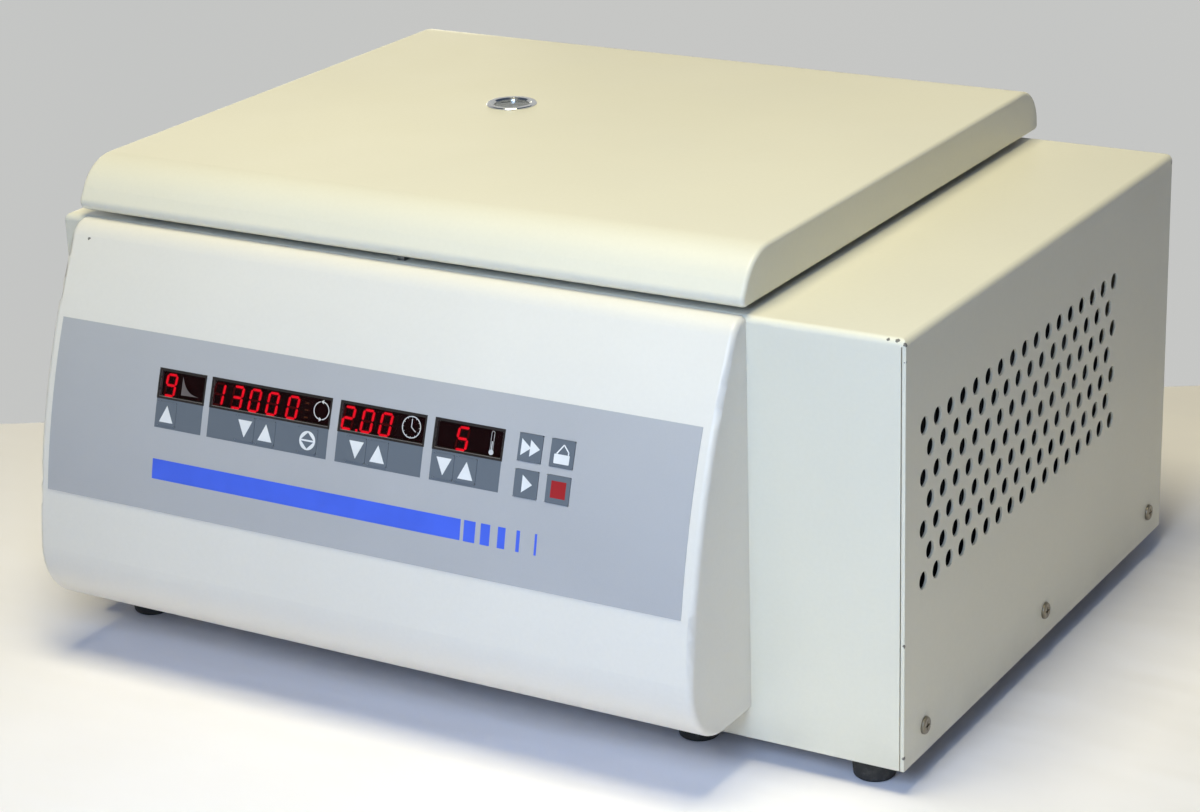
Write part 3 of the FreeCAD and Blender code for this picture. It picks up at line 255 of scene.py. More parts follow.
def socket_screw(bm, centre, axis, radius):
    """Cylinder head with a hexagon socket."""
    high = radius * 0.8
    lathe(bm, [(0, 0), (radius, 0), (radius, high * 0.85), (radius * 0.88, high),
               (hexagon(radius * 0.5), high), (hexagon(radius * 0.5), high * 0.4), (0, high * 0.35)],
          centre, axis)


# ---------------------------------------------------------------- node helpers
class Finish:
    """A material whose nodes are added with short calls. Coordinates are the frame's, in metres."""

    def __init__(self, name):
        self.material = bpy.data.materials.new(name)
        self.material.use_nodes = True
        self.tree = self.material.node_tree
        self.shader = self.tree.nodes["Principled BSDF"]
        self.place = self.add("ShaderNodeTexCoord").outputs["Object"]

    def add(self, kind, **settings):
        node = self.tree.nodes.new(kind)
        for key, value in settings.items():
            setattr(node, key, value)
        return node

    def feed(self, socket, value):
        if isinstance(value, bpy.types.NodeSocket):
            self.tree.links.new(value, socket)
        else:
            socket.default_value = value

    def set(self, **values):
        """Plain numbers on the shader's own sockets."""
        for key, value in values.items():
            self.shader.inputs[key.replace("_", " ")].default_value = value

    def maths(self, operation, a, b):
        node = self.add("ShaderNodeMath", operation=operation)
        self.feed(node.inputs[0], a)
        self.feed(node.inputs[1], b)
        return node.outputs[0]

    def vector(self, operation, a, b=(0, 0, 0), output=0):
        node = self.add("ShaderNodeVectorMath", operation=operation)
        self.feed(node.inputs[0], a)
        self.feed(node.inputs[1], b)
        return node.outputs[output]

    def noise(self, scale, detail=2.0, place=None, roughness=0.5):
        node = self.add("ShaderNodeTexNoise")
        self.feed(node.inputs["Vector"], place or self.place)
        node.inputs["Scale"].default_value = scale
        node.inputs["Detail"].default_value = detail
        node.inputs["Roughness"].default_value = roughness
        return node.outputs["Fac"]

    def cells(self, scale, output="Distance"):
        node = self.add("ShaderNodeTexVoronoi")
        self.feed(node.inputs["Vector"], self.place)
        node.inputs["Scale"].default_value = scale
        return node.outputs[output]

    def spread(self, value, low, high, to_low=0.0, to_high=1.0):
        """Maps low..high to to_low..to_high, clamped."""
        node = self.add("ShaderNodeMapRange")
        for socket, number in zip(node.inputs, (value, low, high, to_low, to_high)):
            self.feed(socket, number)
        return node.outputs[0]

    def mix(self, share, a, b):
        node = self.add("ShaderNodeMix", data_type="RGBA")
        self.feed(node.inputs["Factor"], share)
        self.feed(node.inputs[6], a if isinstance(a, bpy.types.NodeSocket) else (*a, 1))
        self.feed(node.inputs[7], b if isinstance(b, bpy.types.NodeSocket) else (*b, 1))
        return node.outputs[2]

    def stretched(self, x, y, z):
        return self.vector("MULTIPLY", self.place, (x, y, z))

    def parts(self, vector=None):
        node = self.add("ShaderNodeSeparateXYZ")
        self.feed(node.inputs[0], vector or self.place)
        return node.outputs

    def bump(self, height, distance, strength, under=None):
        node = self.add("ShaderNodeBump")
        self.feed(node.inputs["Height"], height)
        node.inputs["Distance"].default_value = distance
        node.inputs["Strength"].default_value = strength
        if under is not None:
            self.feed(node.inputs["Normal"], under)
        return node.outputs[0]

    def soft_edges(self, radius):
        """A normal that rounds sharp edges."""
        node = self.add("ShaderNodeBevel", samples=4)
        node.inputs["Radius"].default_value = radius
        return node.outputs[0]

    def edges(self, radius):
        """1 on sharp edges, 0 elsewhere."""
        normal = self.add("ShaderNodeNewGeometry").outputs["Normal"]
        same = self.vector("DOT_PRODUCT", self.soft_edges(radius), normal, output=1)
        return self.spread(same, 0.99, 0.85)

    def about_rotor(self):
        """(distance from the rotor's axis, height) in metres."""
        run = self.vector("SUBTRACT", self.place, (rotor_x * MM, rotor_y * MM, 0))
        flat = self.vector("MULTIPLY", run, (1, 1, 0))
        return self.vector("LENGTH", flat, output=1), self.parts()[2]

    def done(self, colour, roughness, normal=None):
        self.feed(self.shader.inputs["Base Color"], colour)
        self.feed(self.shader.inputs["Roughness"], roughness)
        if normal is not None:
            self.feed(self.shader.inputs["Normal"], normal)
        return self.material


def varied(finish, colour, amount, scale):
    """A colour with soft lighter and darker areas."""
    darker = tuple(c * (1 - amount) for c in colour)
    lighter = tuple(min(1.0, c * (1 + amount)) for c in colour)
    broad = finish.noise(scale, 3)
    return finish.mix(finish.spread(broad, 0.35, 0.65), darker, lighter)


# ---------------------------------------------------------------- finishes
CREAM = (0.80, 0.765, 0.635)
PRIMER = (0.16, 0.15, 0.13)


def paint(name, colour, peel, chips):
    """Satin stoving paint: orange peel, patchy darkening towards the bottom, chips near the given places
    and on a few edges.
    """
    f = Finish(name)
    f.set(Specular_IOR_Level=0.45, Coat_Weight=0.12, Coat_Roughness=0.28)
    shade = varied(f, colour, 0.018, 5.0)
    speckle = f.spread(f.noise(420, 2), 0.3, 0.7, 0.0, 0.07)
    shade = f.mix(speckle, shade, tuple(c * 0.78 for c in colour))
    # colour darkens towards the bottom of the cabinet, in patches
    low = f.spread(f.parts()[2], (base_z + 30) * MM, (base_z - 8) * MM, 0.0, 0.35)
    low_darkening = f.maths("MULTIPLY", low, f.spread(f.noise(30, 4), 0.35, 0.75))
    shade = f.mix(low_darkening, shade, tuple(c * 0.62 for c in colour))
    worn = f.maths("MULTIPLY", f.edges(0.0007), f.spread(f.noise(70, 3, roughness=0.7), 0.66, 0.7))
    for place, reach in chips:
        away = f.vector("DISTANCE", f.place, tuple(c * MM for c in place), output=1)
        ragged = f.maths("ADD", away, f.spread(f.noise(900, 3), 0.0, 1.0, -0.0012, 0.0012))
        worn = f.maths("MAXIMUM", worn, f.spread(ragged, reach * MM, reach * MM * 0.8))
    shade = f.mix(worn, shade, PRIMER)
    rough = f.spread(f.noise(16, 3), 0.3, 0.7, 0.36, 0.44)
    rough = f.maths("ADD", rough, f.maths("MULTIPLY", worn, 0.3))
    peel_height = f.noise(peel, 1.5, roughness=0.35)
    normal = f.bump(peel_height, 0.00006, 0.35, f.soft_edges(0.0005))
    normal = f.bump(f.maths("SUBTRACT", 1.0, worn), 0.00008, 0.6, normal)
    return f.done(shade, rough, normal)


def plastic(name, colour, grain, rough, dust=0.05):
    """Moulded plastic with a fine grain and a little dust."""
    f = Finish(name)
    shade = varied(f, colour, 0.04, 12.0)
    shade = f.mix(f.spread(f.noise(190, 4), 0.45, 0.8, 0.0, dust), shade, (0.62, 0.6, 0.55))
    bright = f.spread(f.maths("MULTIPLY", f.edges(0.0005), f.noise(60, 3)), 0.35, 0.75, 0.0, 0.3)
    shade = f.mix(bright, shade, tuple(min(1, c * 1.5 + 0.04) for c in colour))
    height = f.maths("ADD", f.noise(grain, 2), f.maths("MULTIPLY", f.cells(grain * 0.7), 0.5))
    roughness = f.spread(f.noise(45, 3), 0.3, 0.7, rough - 0.05, rough + 0.06)
    return f.done(shade, roughness, f.bump(height, 0.00004, 0.5, f.soft_edges(0.0004)))


def rubber(name, colour):
    f = Finish(name)
    f.set(Specular_IOR_Level=0.3)
    shade = varied(f, colour, 0.18, 40.0)
    shade = f.mix(f.spread(f.noise(130, 5, roughness=0.7), 0.5, 0.85, 0.0, 0.22), shade, (0.33, 0.31, 0.27))
    rough = f.spread(f.noise(80, 3), 0.3, 0.7, 0.68, 0.86)
    return f.done(shade, rough, f.bump(f.noise(1500, 2), 0.00005, 0.6))


def foil(name, colour):
    """Screen-printed matt foil with a very fine texture."""
    f = Finish(name)
    f.set(Specular_IOR_Level=0.4)
    shade = varied(f, colour, 0.02, 9.0)
    fleck = f.spread(f.noise(1500, 1), 0.35, 0.65, 0.0, 0.1)
    shade = f.mix(fleck, shade, tuple(min(1, c * 1.18) for c in colour))
    smear = f.spread(f.noise(22, 4, f.stretched(1, 1, 2.5)), 0.5, 0.8, 0.0, 0.1)
    shade = f.mix(smear, shade, tuple(c * 0.82 for c in colour))
    rough = f.spread(f.noise(28, 4), 0.3, 0.7, 0.42, 0.54)
    return f.done(shade, rough, f.bump(f.noise(2600, 1), 0.00002, 0.5))


def ink(name, colour, worn=0.12):
    f = Finish(name)
    shade = varied(f, colour, 0.04, 60.0)
    patchy = f.spread(f.noise(900, 4, roughness=0.7), 0.62, 0.72, 0.0, worn)
    shade = f.mix(patchy, shade, tuple(c * 0.7 for c in colour))
    rough = f.spread(f.noise(120, 2), 0.3, 0.7, 0.4, 0.5)
    return f.done(shade, rough, f.bump(f.noise(2400, 1), 0.00001, 0.4))


def led(name, colour, strength):
    """Glowing segment, a little uneven along its length."""
    f = Finish(name)
    f.feed(f.shader.inputs["Emission Color"],
           f.mix(f.spread(f.noise(260, 2), 0.3, 0.7), tuple(c * 0.75 for c in colour), colour))
    f.set(Emission_Strength=strength)
    return f.done(f.mix(f.noise(300), (0.25, 0.0, 0.0), (0.4, 0.01, 0.01)), 0.5)


def tinted_window(name, colour, alpha):
    """Dark filter over the displays, with light smears."""
    f = Finish(name)
    f.set(Alpha=alpha, Specular_IOR_Level=0.04)
    shade = f.mix(f.spread(f.noise(40, 3), 0.3, 0.7), tuple(c * 0.8 for c in colour), colour)
    rough = f.spread(f.noise(35, 5), 0.4, 0.75, 0.16, 0.3)
    return f.done(shade, rough, f.bump(f.noise(60, 2), 0.00002, 0.2))


def lens_glass(name):
    f = Finish(name)
    f.set(Transmission_Weight=0.9, IOR=1.49)
    shade = f.mix(f.spread(f.noise(50, 3), 0.35, 0.65), (0.62, 0.66, 0.66), (0.74, 0.78, 0.78))
    scratches = f.noise(160, 6, f.stretched(1, 9, 1), 0.75)
    rough = f.spread(scratches, 0.5, 0.8, 0.03, 0.18)
    return f.done(shade, rough, f.bump(scratches, 0.000008, 0.5))


def zinc(name, colour, spangle):
    """Zinc-plated sheet with a faint spangle and rolling marks."""
    f = Finish(name)
    f.set(Metallic=0.92)
    flakes = f.cells(spangle, "Color")
    tone = f.parts(flakes)[0]
    shade = f.mix(f.spread(tone, 0.0, 1.0, 0.0, 0.35), colour, tuple(c * 0.72 for c in colour))
    stain = f.spread(f.noise(14, 5, roughness=0.65), 0.5, 0.8, 0.0, 0.35)
    shade = f.mix(stain, shade, (0.42, 0.39, 0.33))
    shade = f.mix(f.edges(0.0005), shade, tuple(min(1, c * 1.2) for c in colour))
    rough = f.spread(tone, 0.0, 1.0, 0.3, 0.46)
    lines = f.noise(500, 2, f.stretched(1, 0.04, 1))
    return f.done(shade, rough, f.bump(lines, 0.00001, 0.4, f.soft_edges(0.0004)))


def turned_metal(name, colour, pitch, rough, metallic=1.0, wear=(0.75, 0.75, 0.74)):
    """Metal turned about the rotor's axis, with fine tool marks and brighter edges."""
    f = Finish(name)
    f.set(Metallic=metallic)
    radius, height = f.about_rotor()
    joined = f.add("ShaderNodeCombineXYZ")
    f.feed(joined.inputs[0], f.maths("ADD", radius, f.maths("MULTIPLY", height, 0.6)))
    marks = f.noise(pitch, 3, joined.outputs[0])
    shade = f.mix(f.spread(marks, 0.3, 0.7, 0.0, 0.5), colour, tuple(c * 0.82 for c in colour))
    smudge = f.spread(f.noise(26, 4), 0.5, 0.8, 0.0, 0.3)
    shade = f.mix(smudge, shade, tuple(c * 0.7 for c in colour))
    rub = f.maths("MULTIPLY", f.edges(0.0006), f.spread(f.noise(140, 3), 0.35, 0.6))
    shade = f.mix(rub, shade, wear)
    roughness = f.maths("ADD", f.spread(marks, 0.3, 0.7, rough - 0.05, rough + 0.05),
                        f.maths("MULTIPLY", smudge, 0.25))
    return f.done(shade, roughness, f.bump(marks, 0.000012, 0.5, f.soft_edges(0.0004)))


def chrome(name):
    f = Finish(name)
    f.set(Metallic=1.0)
    haze = f.noise(90, 5, roughness=0.7)
    shade = f.mix(f.spread(haze, 0.45, 0.75, 0.0, 0.5), (0.72, 0.73, 0.74), (0.5, 0.51, 0.52))
    rough = f.spread(haze, 0.4, 0.75, 0.1, 0.27)
    return f.done(shade, rough, f.bump(f.noise(700, 3, f.stretched(1, 1, 0.1)), 0.000006, 0.5))


def cast_metal(name, colour, metallic, rough, grain):
    """Cast or stoved surface with a sandy texture."""
    f = Finish(name)
    f.set(Metallic=metallic)
    shade = varied(f, colour, 0.1, 18.0)
    shade = f.mix(f.spread(f.noise(150, 5, roughness=0.7), 0.5, 0.8, 0.0, 0.25), shade,
                  tuple(min(1, c * 1.3 + 0.03) for c in colour))
    height = f.maths("ADD", f.noise(grain, 3), f.cells(grain * 0.6))
    roughness = f.spread(f.noise(60, 3), 0.3, 0.7, rough - 0.08, rough + 0.08)
    return f.done(shade, roughness, f.bump(height, 0.00006, 0.6, f.soft_edges(0.0005)))


def copper(name):
    f = Finish(name)
    f.set(Metallic=1.0)
    tarnish = f.noise(24, 5, roughness=0.65)
    shade = f.mix(f.spread(tarnish, 0.35, 0.7), (0.78, 0.43, 0.27), (0.42, 0.22, 0.13))
    shade = f.mix(f.spread(f.noise(70, 4), 0.66, 0.8, 0.0, 0.4), shade, (0.25, 0.36, 0.3))
    rough = f.spread(tarnish, 0.3, 0.75, 0.22, 0.5)
    return f.done(shade, rough, f.bump(f.noise(400, 2), 0.00002, 0.4))


def foam(name):
    """Poured insulation foam: pale yellow, with open cells."""
    f = Finish(name)
    f.set(Specular_IOR_Level=0.2)
    cells = f.cells(650)
    shade = varied(f, (0.76, 0.66, 0.38), 0.1, 14.0)
    # painted shade: the colour darkens in the pits of the cells
    shade = f.mix(f.spread(cells, 0.0, 0.5, 0.3, 0.0), shade, (0.5, 0.4, 0.2))
    return f.done(shade, f.spread(cells, 0.0, 0.8, 0.95, 0.82), f.bump(cells, 0.0004, 0.8))


def circuit(name):
    """Green board with paler tracks and pads."""
    f = Finish(name)
    grid = f.add("ShaderNodeTexBrick")
    f.feed(grid.inputs["Vector"], f.place)
    grid.inputs["Scale"].default_value = 160
    grid.inputs["Mortar Size"].default_value = 0.03
    grid.inputs["Color1"].default_value = (0.02, 0.14, 0.06, 1)
    grid.inputs["Color2"].default_value = (0.025, 0.19, 0.08, 1)
    grid.inputs["Mortar"].default_value = (0.1, 0.36, 0.15, 1)
    pads = f.spread(f.cells(320), 0.16, 0.12)
    shade = f.mix(f.maths("MULTIPLY", pads, 0.8), grid.outputs["Color"], (0.6, 0.58, 0.5))
    rough = f.spread(f.noise(80), 0.3, 0.7, 0.32, 0.5)
    return f.done(shade, rough, f.bump(grid.outputs["Fac"], 0.00004, 0.4))


corner_chips = (
    ((housing_high.x - 0.5, front_y + 0.5, deck_z - 2.5), 1.3),
    ((housing_high.x - 5.5, front_y + 0.9, deck_z - 0.9), 1.3),
    ((housing_high.x - 10.5, front_y + 0.9, deck_z - 0.7), 1.1),
    ((housing_high.x - 0.6, front_y + 0.6, deck_z - 12.0), 0.7),
    ((housing_high.x, front_y, base_z + 74.0), 1.1),
    ((housing_high.x, front_y + 0.4, base_z + 8.0), 1.4),
    ((housing_high.x - 0.6, housing_high.y, deck_z - 5.0), 1.6),
)
panel_ding = (arc_point(-246.0, 226.0, MAIN_RADIUS) / MM, 0.8)

finishes = {
    "cream_paint": paint("cream_paint_stoved", CREAM, 620, corner_chips),
    "fascia_paint": paint("fascia_paint_satin", (0.79, 0.76, 0.7), 560, (panel_ding,)),
    "control_foil": foil("control_foil_matt", (0.44, 0.445, 0.465)),
    "key_slate": foil("key_slate_matt", (0.12, 0.142, 0.172)),
    "key_stop_red": foil("key_stop_slate", (0.125, 0.147, 0.177)),
    "display_glass": tinted_window("display_filter", (0.012, 0.001, 0.0015), 0.5),
    "display_black": plastic("display_module_black", (0.008, 0.001, 0.0015), 800, 0.55, dust=0.0),
    "circuit_board": circuit("circuit_board_green"),
    "zinc_steel": zinc("zinc_steel_sheet", (0.62, 0.62, 0.6), 90),
    "stainless": turned_metal("stainless_spun", (0.66, 0.66, 0.65), 1400, 0.27, wear=(0.8, 0.8, 0.79)),
    "chrome": chrome("chrome_ring"),
    "clear_glass": lens_glass("viewport_glass"),
    "black_rubber": rubber("black_rubber_feet", (0.035, 0.034, 0.033)),
    "grey_rubber": rubber("grey_rubber_seal", (0.17, 0.17, 0.175)),
    "grey_plastic": plastic("grey_plastic_grained", (0.42, 0.43, 0.43), 900, 0.5),
    "black_plastic": plastic("black_plastic_grained", (0.025, 0.025, 0.026), 1100, 0.42),
    "foam": foam("insulation_foam"),
    "rotor_aluminium": turned_metal("rotor_anodised", (0.115, 0.12, 0.13), 1700, 0.34, 0.85),
    "motor_aluminium": cast_metal("motor_cast_aluminium", (0.52, 0.53, 0.54), 0.9, 0.45, 600),
    "compressor_black": cast_metal("compressor_black_stoved", (0.018, 0.018, 0.02), 0.0, 0.32, 500),
    "copper": copper("copper_tube"),
    "armour_steel": zinc("armour_steel_mill", (0.3, 0.3, 0.3), 30),
    # condenser fins: a black coat, made near black as painted shade for the dark cabinet interior behind
    # the grille
    "condenser_black": cast_metal("condenser_black_coat_and_painted_shade", (0.012, 0.012, 0.013), 0.2, 0.6, 700),
}
screw_steel = zinc("screw_steel_nickel", (0.27, 0.24, 0.19), 900)
white_ink = ink("white_print", (0.78, 0.79, 0.8))
icon_ink = ink("icon_print", (0.6, 0.6, 0.6))
blue_ink = ink("blue_print", (0.05, 0.125, 0.76))
red_ink = ink("red_print", (0.34, 0.004, 0.008))
mask_ink = ink("window_mask_print", (0.005, 0.002, 0.002), 0.0)
lit_segment = led("led_lit", (1.0, 0.006, 0.022), 3.4)
halo_segment = led("led_halo", (0.6, 0.004, 0.01), 0.2)
# unlit segments: a faint painted glow, though no current lights them
unlit_segment_painted_glow = led("led_unlit_painted_glow", (0.5, 0.006, 0.01), 0.1)
dim_lamp = led("led_dim", (0.5, 0.3, 0.12), 0.3)


def dress_nodes():
    """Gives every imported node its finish."""
    for name, obj in nodes.items():
        for holder in obj.material_slots:
            finish = finishes[holder.material.name.split(".")[0]]
            holder.material = screw_steel if name == "side_screws" else finish


# ---------------------------------------------------------------- control panel
def key_cells(x0, x1, s0, s1, centres):
    """Cells of a printed field, leaving out the keys that stand in it."""
    keys = [(c - KEY_HALF - KEY_GAP, c + KEY_HALF + KEY_GAP) for c in centres]
    low, high = KEY_S[0] - KEY_GAP, KEY_S[1] + KEY_GAP
    xs = sorted([x0, x1] + [x for key in keys for x in key])
    cells = []
    for a, b in zip(xs, xs[1:]):
        if any(abs(a - key[0]) < 1e-6 for key in keys):
            cells.append(rectangle(a, b, s0, low))
            cells.append(rectangle(a, b, high, s1))
        else:
            cells.append(rectangle(a, b, s0, s1))
    return cells


def make_fields():
    centres = list(UP_KEYS.values()) + list(DOWN_KEYS.values()) + [MODE_CENTRE[0]]
    cells = []
    for x0, x1 in WINDOWS:
        cells += key_cells(x0, x1, *FIELD_S, [c for c in centres if x0 < c < x1])
    printed("key_fields", cells, FOIL_FACE, INK, finishes["key_slate"], "cabinet")


def make_stripe():
    x0, x1, s0, s1 = STRIPE
    printed("blue_stripe", [rectangle(x0, x1, s0, s1)], FOIL_FACE, INK, blue_ink, "cabinet")
    bars = [rectangle(a, b, s0, s1) for a, b in BARS]
    printed("blue_bars", bars, FOIL_FACE, INK, blue_ink, "cabinet")


def key_print(key, outlines, finish=white_ink):
    printed(key + "_symbol", outlines, KEY_FACE, INK, finish, key)


def mode_outlines():
    """Ring with a bar across it and an arrowhead left open in each half."""
    x, s = MODE_CENTRE
    rim = [math.radians(9 * i) for i in range(11)]
    quarter = [(MODE_RADIUS * math.cos(a), MODE_RADIUS * math.sin(a)) for a in rim]
    quarter += [(0, 4.6), (4.2, 0.5), (0, 0.5), (0, 0)]
    return [[(x + across * u, s + upward * v) for u, v in quarter]
            for across in (-1, 1) for upward in (-1, 1)]


def padlock_outlines():
    """Body with an open shackle."""
    x, s = PADLOCK
    corners = [(x - 3.4, s + 4.7), (x + 0.6, s + 9.9), (x + 3.9, s + 6.2), (x + 3.9, s + 4.7)]
    shackle = [stroke(corners[0], corners[1], 0.75), stroke(corners[1], corners[2], 0.75),
               stroke(corners[3], corners[2], 0.75)]
    return [rectangle(x - 4.8, x + 4.8, s - 0.6, s + 4.6, 0.5)] + shackle


def make_key_symbols():
    s0, s1 = ARROW_S
    for key, x in UP_KEYS.items():
        key_print(key, [[(x - ARROW_HALF, s0), (x + ARROW_HALF, s0), (x, s1)]])
    for key, x in DOWN_KEYS.items():
        key_print(key, [[(x - ARROW_HALF, s1), (x, s0), (x + ARROW_HALF, s1)]])
    key_print("key_speed_mode", mode_outlines())
    key_print("key_quick_run", [[(x, 146.4), (x + 6.2, 151.0), (x, 155.6)] for x in QUICK_STARTS])
    key_print("key_start", [[(72.2, 126.6), (78.6, 131.4), (72.2, 136.2)]])
    key_print("key_stop", [rectangle(*STOP_SQUARE)], red_ink)
    key_print("key_lid_open", padlock_outlines())


def digit_outlines(x0, names, width=DIGIT_STROKE):
    """Segments a..g of one slanted digit."""
    s0, s1 = DIGIT_S
    middle = (s0 + s1) / 2
    inset = DIGIT_STROKE / 2
    half = width / 2
    lean = (s1 - s0) * DIGIT_SLANT
    left, right = x0 + inset, x0 + DIGIT_WIDTH - inset - lean
    ends = {
        "a": ((left, s1 - inset), (right, s1 - inset)),
        "g": ((left, middle), (right, middle)),
        "d": ((left, s0 + inset), (right, s0 + inset)),
        "f": ((left, middle), (left, s1 - inset)),
        "b": ((right, middle), (right, s1 - inset)),
        "e": ((left, s0 + inset), (left, middle)),
        "c": ((right, s0 + inset), (right, middle)),
    }
    outlines = []
    for name in names:
        (ax, a_s), (bx, b_s) = ends[name]
        tip, gap = SEGMENT_TIP, half + SEGMENT_SHOULDER
        if name in "agd":
            shape = [(ax + tip, a_s), (ax + gap, a_s - half), (bx - gap, b_s - half), (bx - tip, b_s),
                     (bx - gap, b_s + half), (ax + gap, a_s + half)]
        else:
            shape = [(ax, a_s + tip), (ax + half, a_s + gap), (bx + half, b_s - gap), (bx, b_s - tip),
                     (bx - half, b_s - gap), (ax - half, a_s + gap)]
        outlines.append([(x + (s - s0) * DIGIT_SLANT, s) for x, s in shape])
    return outlines


def make_digits():
    """Lit and unlit segments, halos and small lamps behind the display windows."""
    lit, unlit, halo = [], [], []
    for digit, x0 in DIGITS:
        on = SEGMENTS[digit]
        lit += digit_outlines(x0, on)
        halo += digit_outlines(x0, on, HALO_STROKE)
        unlit += digit_outlines(x0, [n for n in "abcdefg" if n not in on])
    x, s = POINT
    lit.append(rectangle(x - POINT_HALF, x + POINT_HALF, s - POINT_HALF, s + POINT_HALF, POINT_HALF / 2))
    lamps = [rectangle(*LAMP_X, s - LAMP_HALF, s + LAMP_HALF) for s in LAMP_S]
    face = LED_FACE + SEGMENT_LIFT
    printed("digits_halo", halo, LED_FACE, INK, halo_segment, "cabinet")
    printed("digits_lit", lit, face, LIT_THICKNESS, lit_segment, "cabinet")
    # the unlit segments carry a faint painted glow
    printed("digits_unlit", unlit, face, UNLIT_THICKNESS, unlit_segment_painted_glow, "cabinet")
    printed("speed_lamps", lamps, face, UNLIT_THICKNESS, dim_lamp, "cabinet")


def make_window_masks():
    """Black border printed over each window's edge, which hides its recess."""
    frames = []
    for x0, x1 in WINDOWS:
        left, right = x0 - MASK_OVERLAP, x1 + MASK_OVERLAP
        low, high = WINDOW_S[0] - MASK_OVERLAP, WINDOW_S[1] + MASK_OVERLAP
        inner_low, inner_high = WINDOW_S[0] + MASK_LOW, WINDOW_S[1] - MASK_HIGH
        frames += [rectangle(left, right, low, inner_low), rectangle(left, right, inner_high, high),
                   rectangle(left, x0 + MASK_HIGH, inner_low, inner_high),
                   rectangle(x1 - MASK_LOW, right, inner_low, inner_high)]
    printed("window_masks", frames, FOIL_FACE, MASK_INK, mask_ink, "cabinet")


def profile_outline():
    """Area under a falling curve."""
    left, right, low, high = PROFILE_BOX
    steps = 10
    shares = [i / steps for i in range(steps + 1)]
    curve = [(left + (right - left) * t, low + (high - low) * math.exp(-3.4 * t)) for t in shares]
    return [(left, low)] + curve[::-1]


def turning_ring():
    """Two arcs with an arrowhead at the top and the bottom."""
    x, s = RING_CENTRE
    shapes = [sector((x, s), 5.3, 4.75, -76, 84), sector((x, s), 5.3, 4.75, 104, 264)]
    for side in (-1, 1):
        tip_x, tip_s = x + side * 0.9, s - side * 5.0
        back_x = tip_x - side * 1.9
        shapes.append([(tip_x, tip_s), (back_x, tip_s + 1.25), (back_x, tip_s - 1.25)])
    return shapes


def clock_outlines():
    x, s = CLOCK_CENTRE
    shapes = full_ring((x, s), 6.2, 5.65)
    shapes.append(stroke((x, s), (x, s + 4.6), 0.5))
    shapes.append(stroke((x, s), (x + 3.0, s - 2.3), 0.5))
    for i in range(12):
        angle = math.radians(30 * i)
        near, far = ((x + r * math.cos(angle), s + r * math.sin(angle)) for r in (5.0, 5.7))
        shapes.append(stroke(near, far, 0.25))
    return shapes


def thermometer_outlines():
    x, s = BULB_CENTRE
    top = 155.6
    shapes = full_ring((x, s), 1.5, 0.0001)
    for side in (-0.9, 0.9):
        shapes.append(stroke((x + side, s + 1.0), (x + side, top), 0.22))
    shapes.append(sector((x, top), 1.01, 0.79, 0, 180, 8))
    shapes.append(stroke((x, s), (x, 150.9), 0.6))
    return shapes


def make_display_icons():
    """Pale symbols printed on the windows: run profile, speed, time and temperature."""
    printed("icon_profile", [profile_outline()], FOIL_FACE, INK, ink("profile_print", (0.12, 0.1, 0.1)),
            "cabinet")
    shapes = turning_ring() + clock_outlines() + thermometer_outlines()
    printed("icons_white", shapes, FOIL_FACE, INK, icon_ink, "cabinet")


# ---------------------------------------------------------------- lid and deck
STOP_INSET = (26, 28)           # of a lid stop, from the lid's side and the cabinet's front
PROBE_RADIUS = 124.2            # from the rotor's axis
PROBE_ANGLE = math.radians(250)
PROBE_BASE = 1.6                # above the bowl's lowest level
SCREW_GAP = 0.02                # between a screw and the sheet it holds
LINER_SCREW_INSET = 8.5
LINER_SCREW_RADIUS = 3.6
HINGE_SCREW_DROP = 4.02         # below the liner
HINGE_SCREW_INSET = 11          # from the outer side of a hinge arm
HINGE_SCREW_BACK = (9, 30)      # behind the front of the hinge arms
HINGE_SCREW_RADIUS = 4.0


def make_deck_parts():
    """Rubber stops under the lid, and the bowl's temperature probe."""
    bm = bmesh.new()
    across, back = STOP_INSET
    for x in (lid_low.x + across, lid_high.x - across):
        lathe(bm, [(0, 0), (7.5, 0), (7.5, 1.4), (5.6, 2.2), (5.2, 6.4), (4.6, 7.8), (3.0, 8.4), (0, 8.5)],
              (x, front_y + back, deck_z + 0.05), (0, 0, 1))
    piece("lid_stops", bm, finishes["black_rubber"], "cabinet", 50)

    centre = (rotor_x + PROBE_RADIUS * math.cos(PROBE_ANGLE),
              rotor_y + PROBE_RADIUS * math.sin(PROBE_ANGLE), bowl_floor + PROBE_BASE)
    bm = bmesh.new()
    lathe(bm, [(0, 0), (4.4, 0), (4.4, 2.0), (3.6, 2.6), (1.9, 2.8), (1.9, 46), (1.5, 47.6), (0, 48)],
          centre, (0, 0, 1), 24)
    piece("bowl_probe", bm, finishes["stainless"], "cabinet", 50)


def make_lid_screws():
    """Screws under the liner and through the hinge flanges."""
    bm = bmesh.new()
    down = (0, 0, -1)
    z = liner_low.z - SCREW_GAP
    left, right = liner_low.x + LINER_SCREW_INSET, liner_high.x - LINER_SCREW_INSET
    places = [(left + (right - left) * share, y)
              for y in (liner_low.y + LINER_SCREW_INSET, liner_high.y - LINER_SCREW_INSET)
              for share in (0, 0.325, 0.675, 1)]
    places += [(x, liner_high.y + (liner_low.y - liner_high.y) * share)
               for x in (left, right) for share in (0.35, 0.65)]
    for x, y in places:
        pan_screw(bm, (x, y, z), down, LINER_SCREW_RADIUS)
    piece("liner_screws", bm, screw_steel, "lid", 30)
    bm = bmesh.new()
    for x in (arms_low.x + HINGE_SCREW_INSET, arms_high.x - HINGE_SCREW_INSET):
        for y in HINGE_SCREW_BACK:
            socket_screw(bm, (x, arms_low.y + y, liner_low.z - HINGE_SCREW_DROP), down, HINGE_SCREW_RADIUS)
    piece("hinge_screws", bm, screw_steel, "lid", 30)


# ---------------------------------------------------------------- rotor
BORE_COUNT = 6
RIM_MIDDLE = 87.0
NUMERAL_HEIGHT = 3.8
HEIGHT_SHARE = 0.7              # a numeral's height over its font's size


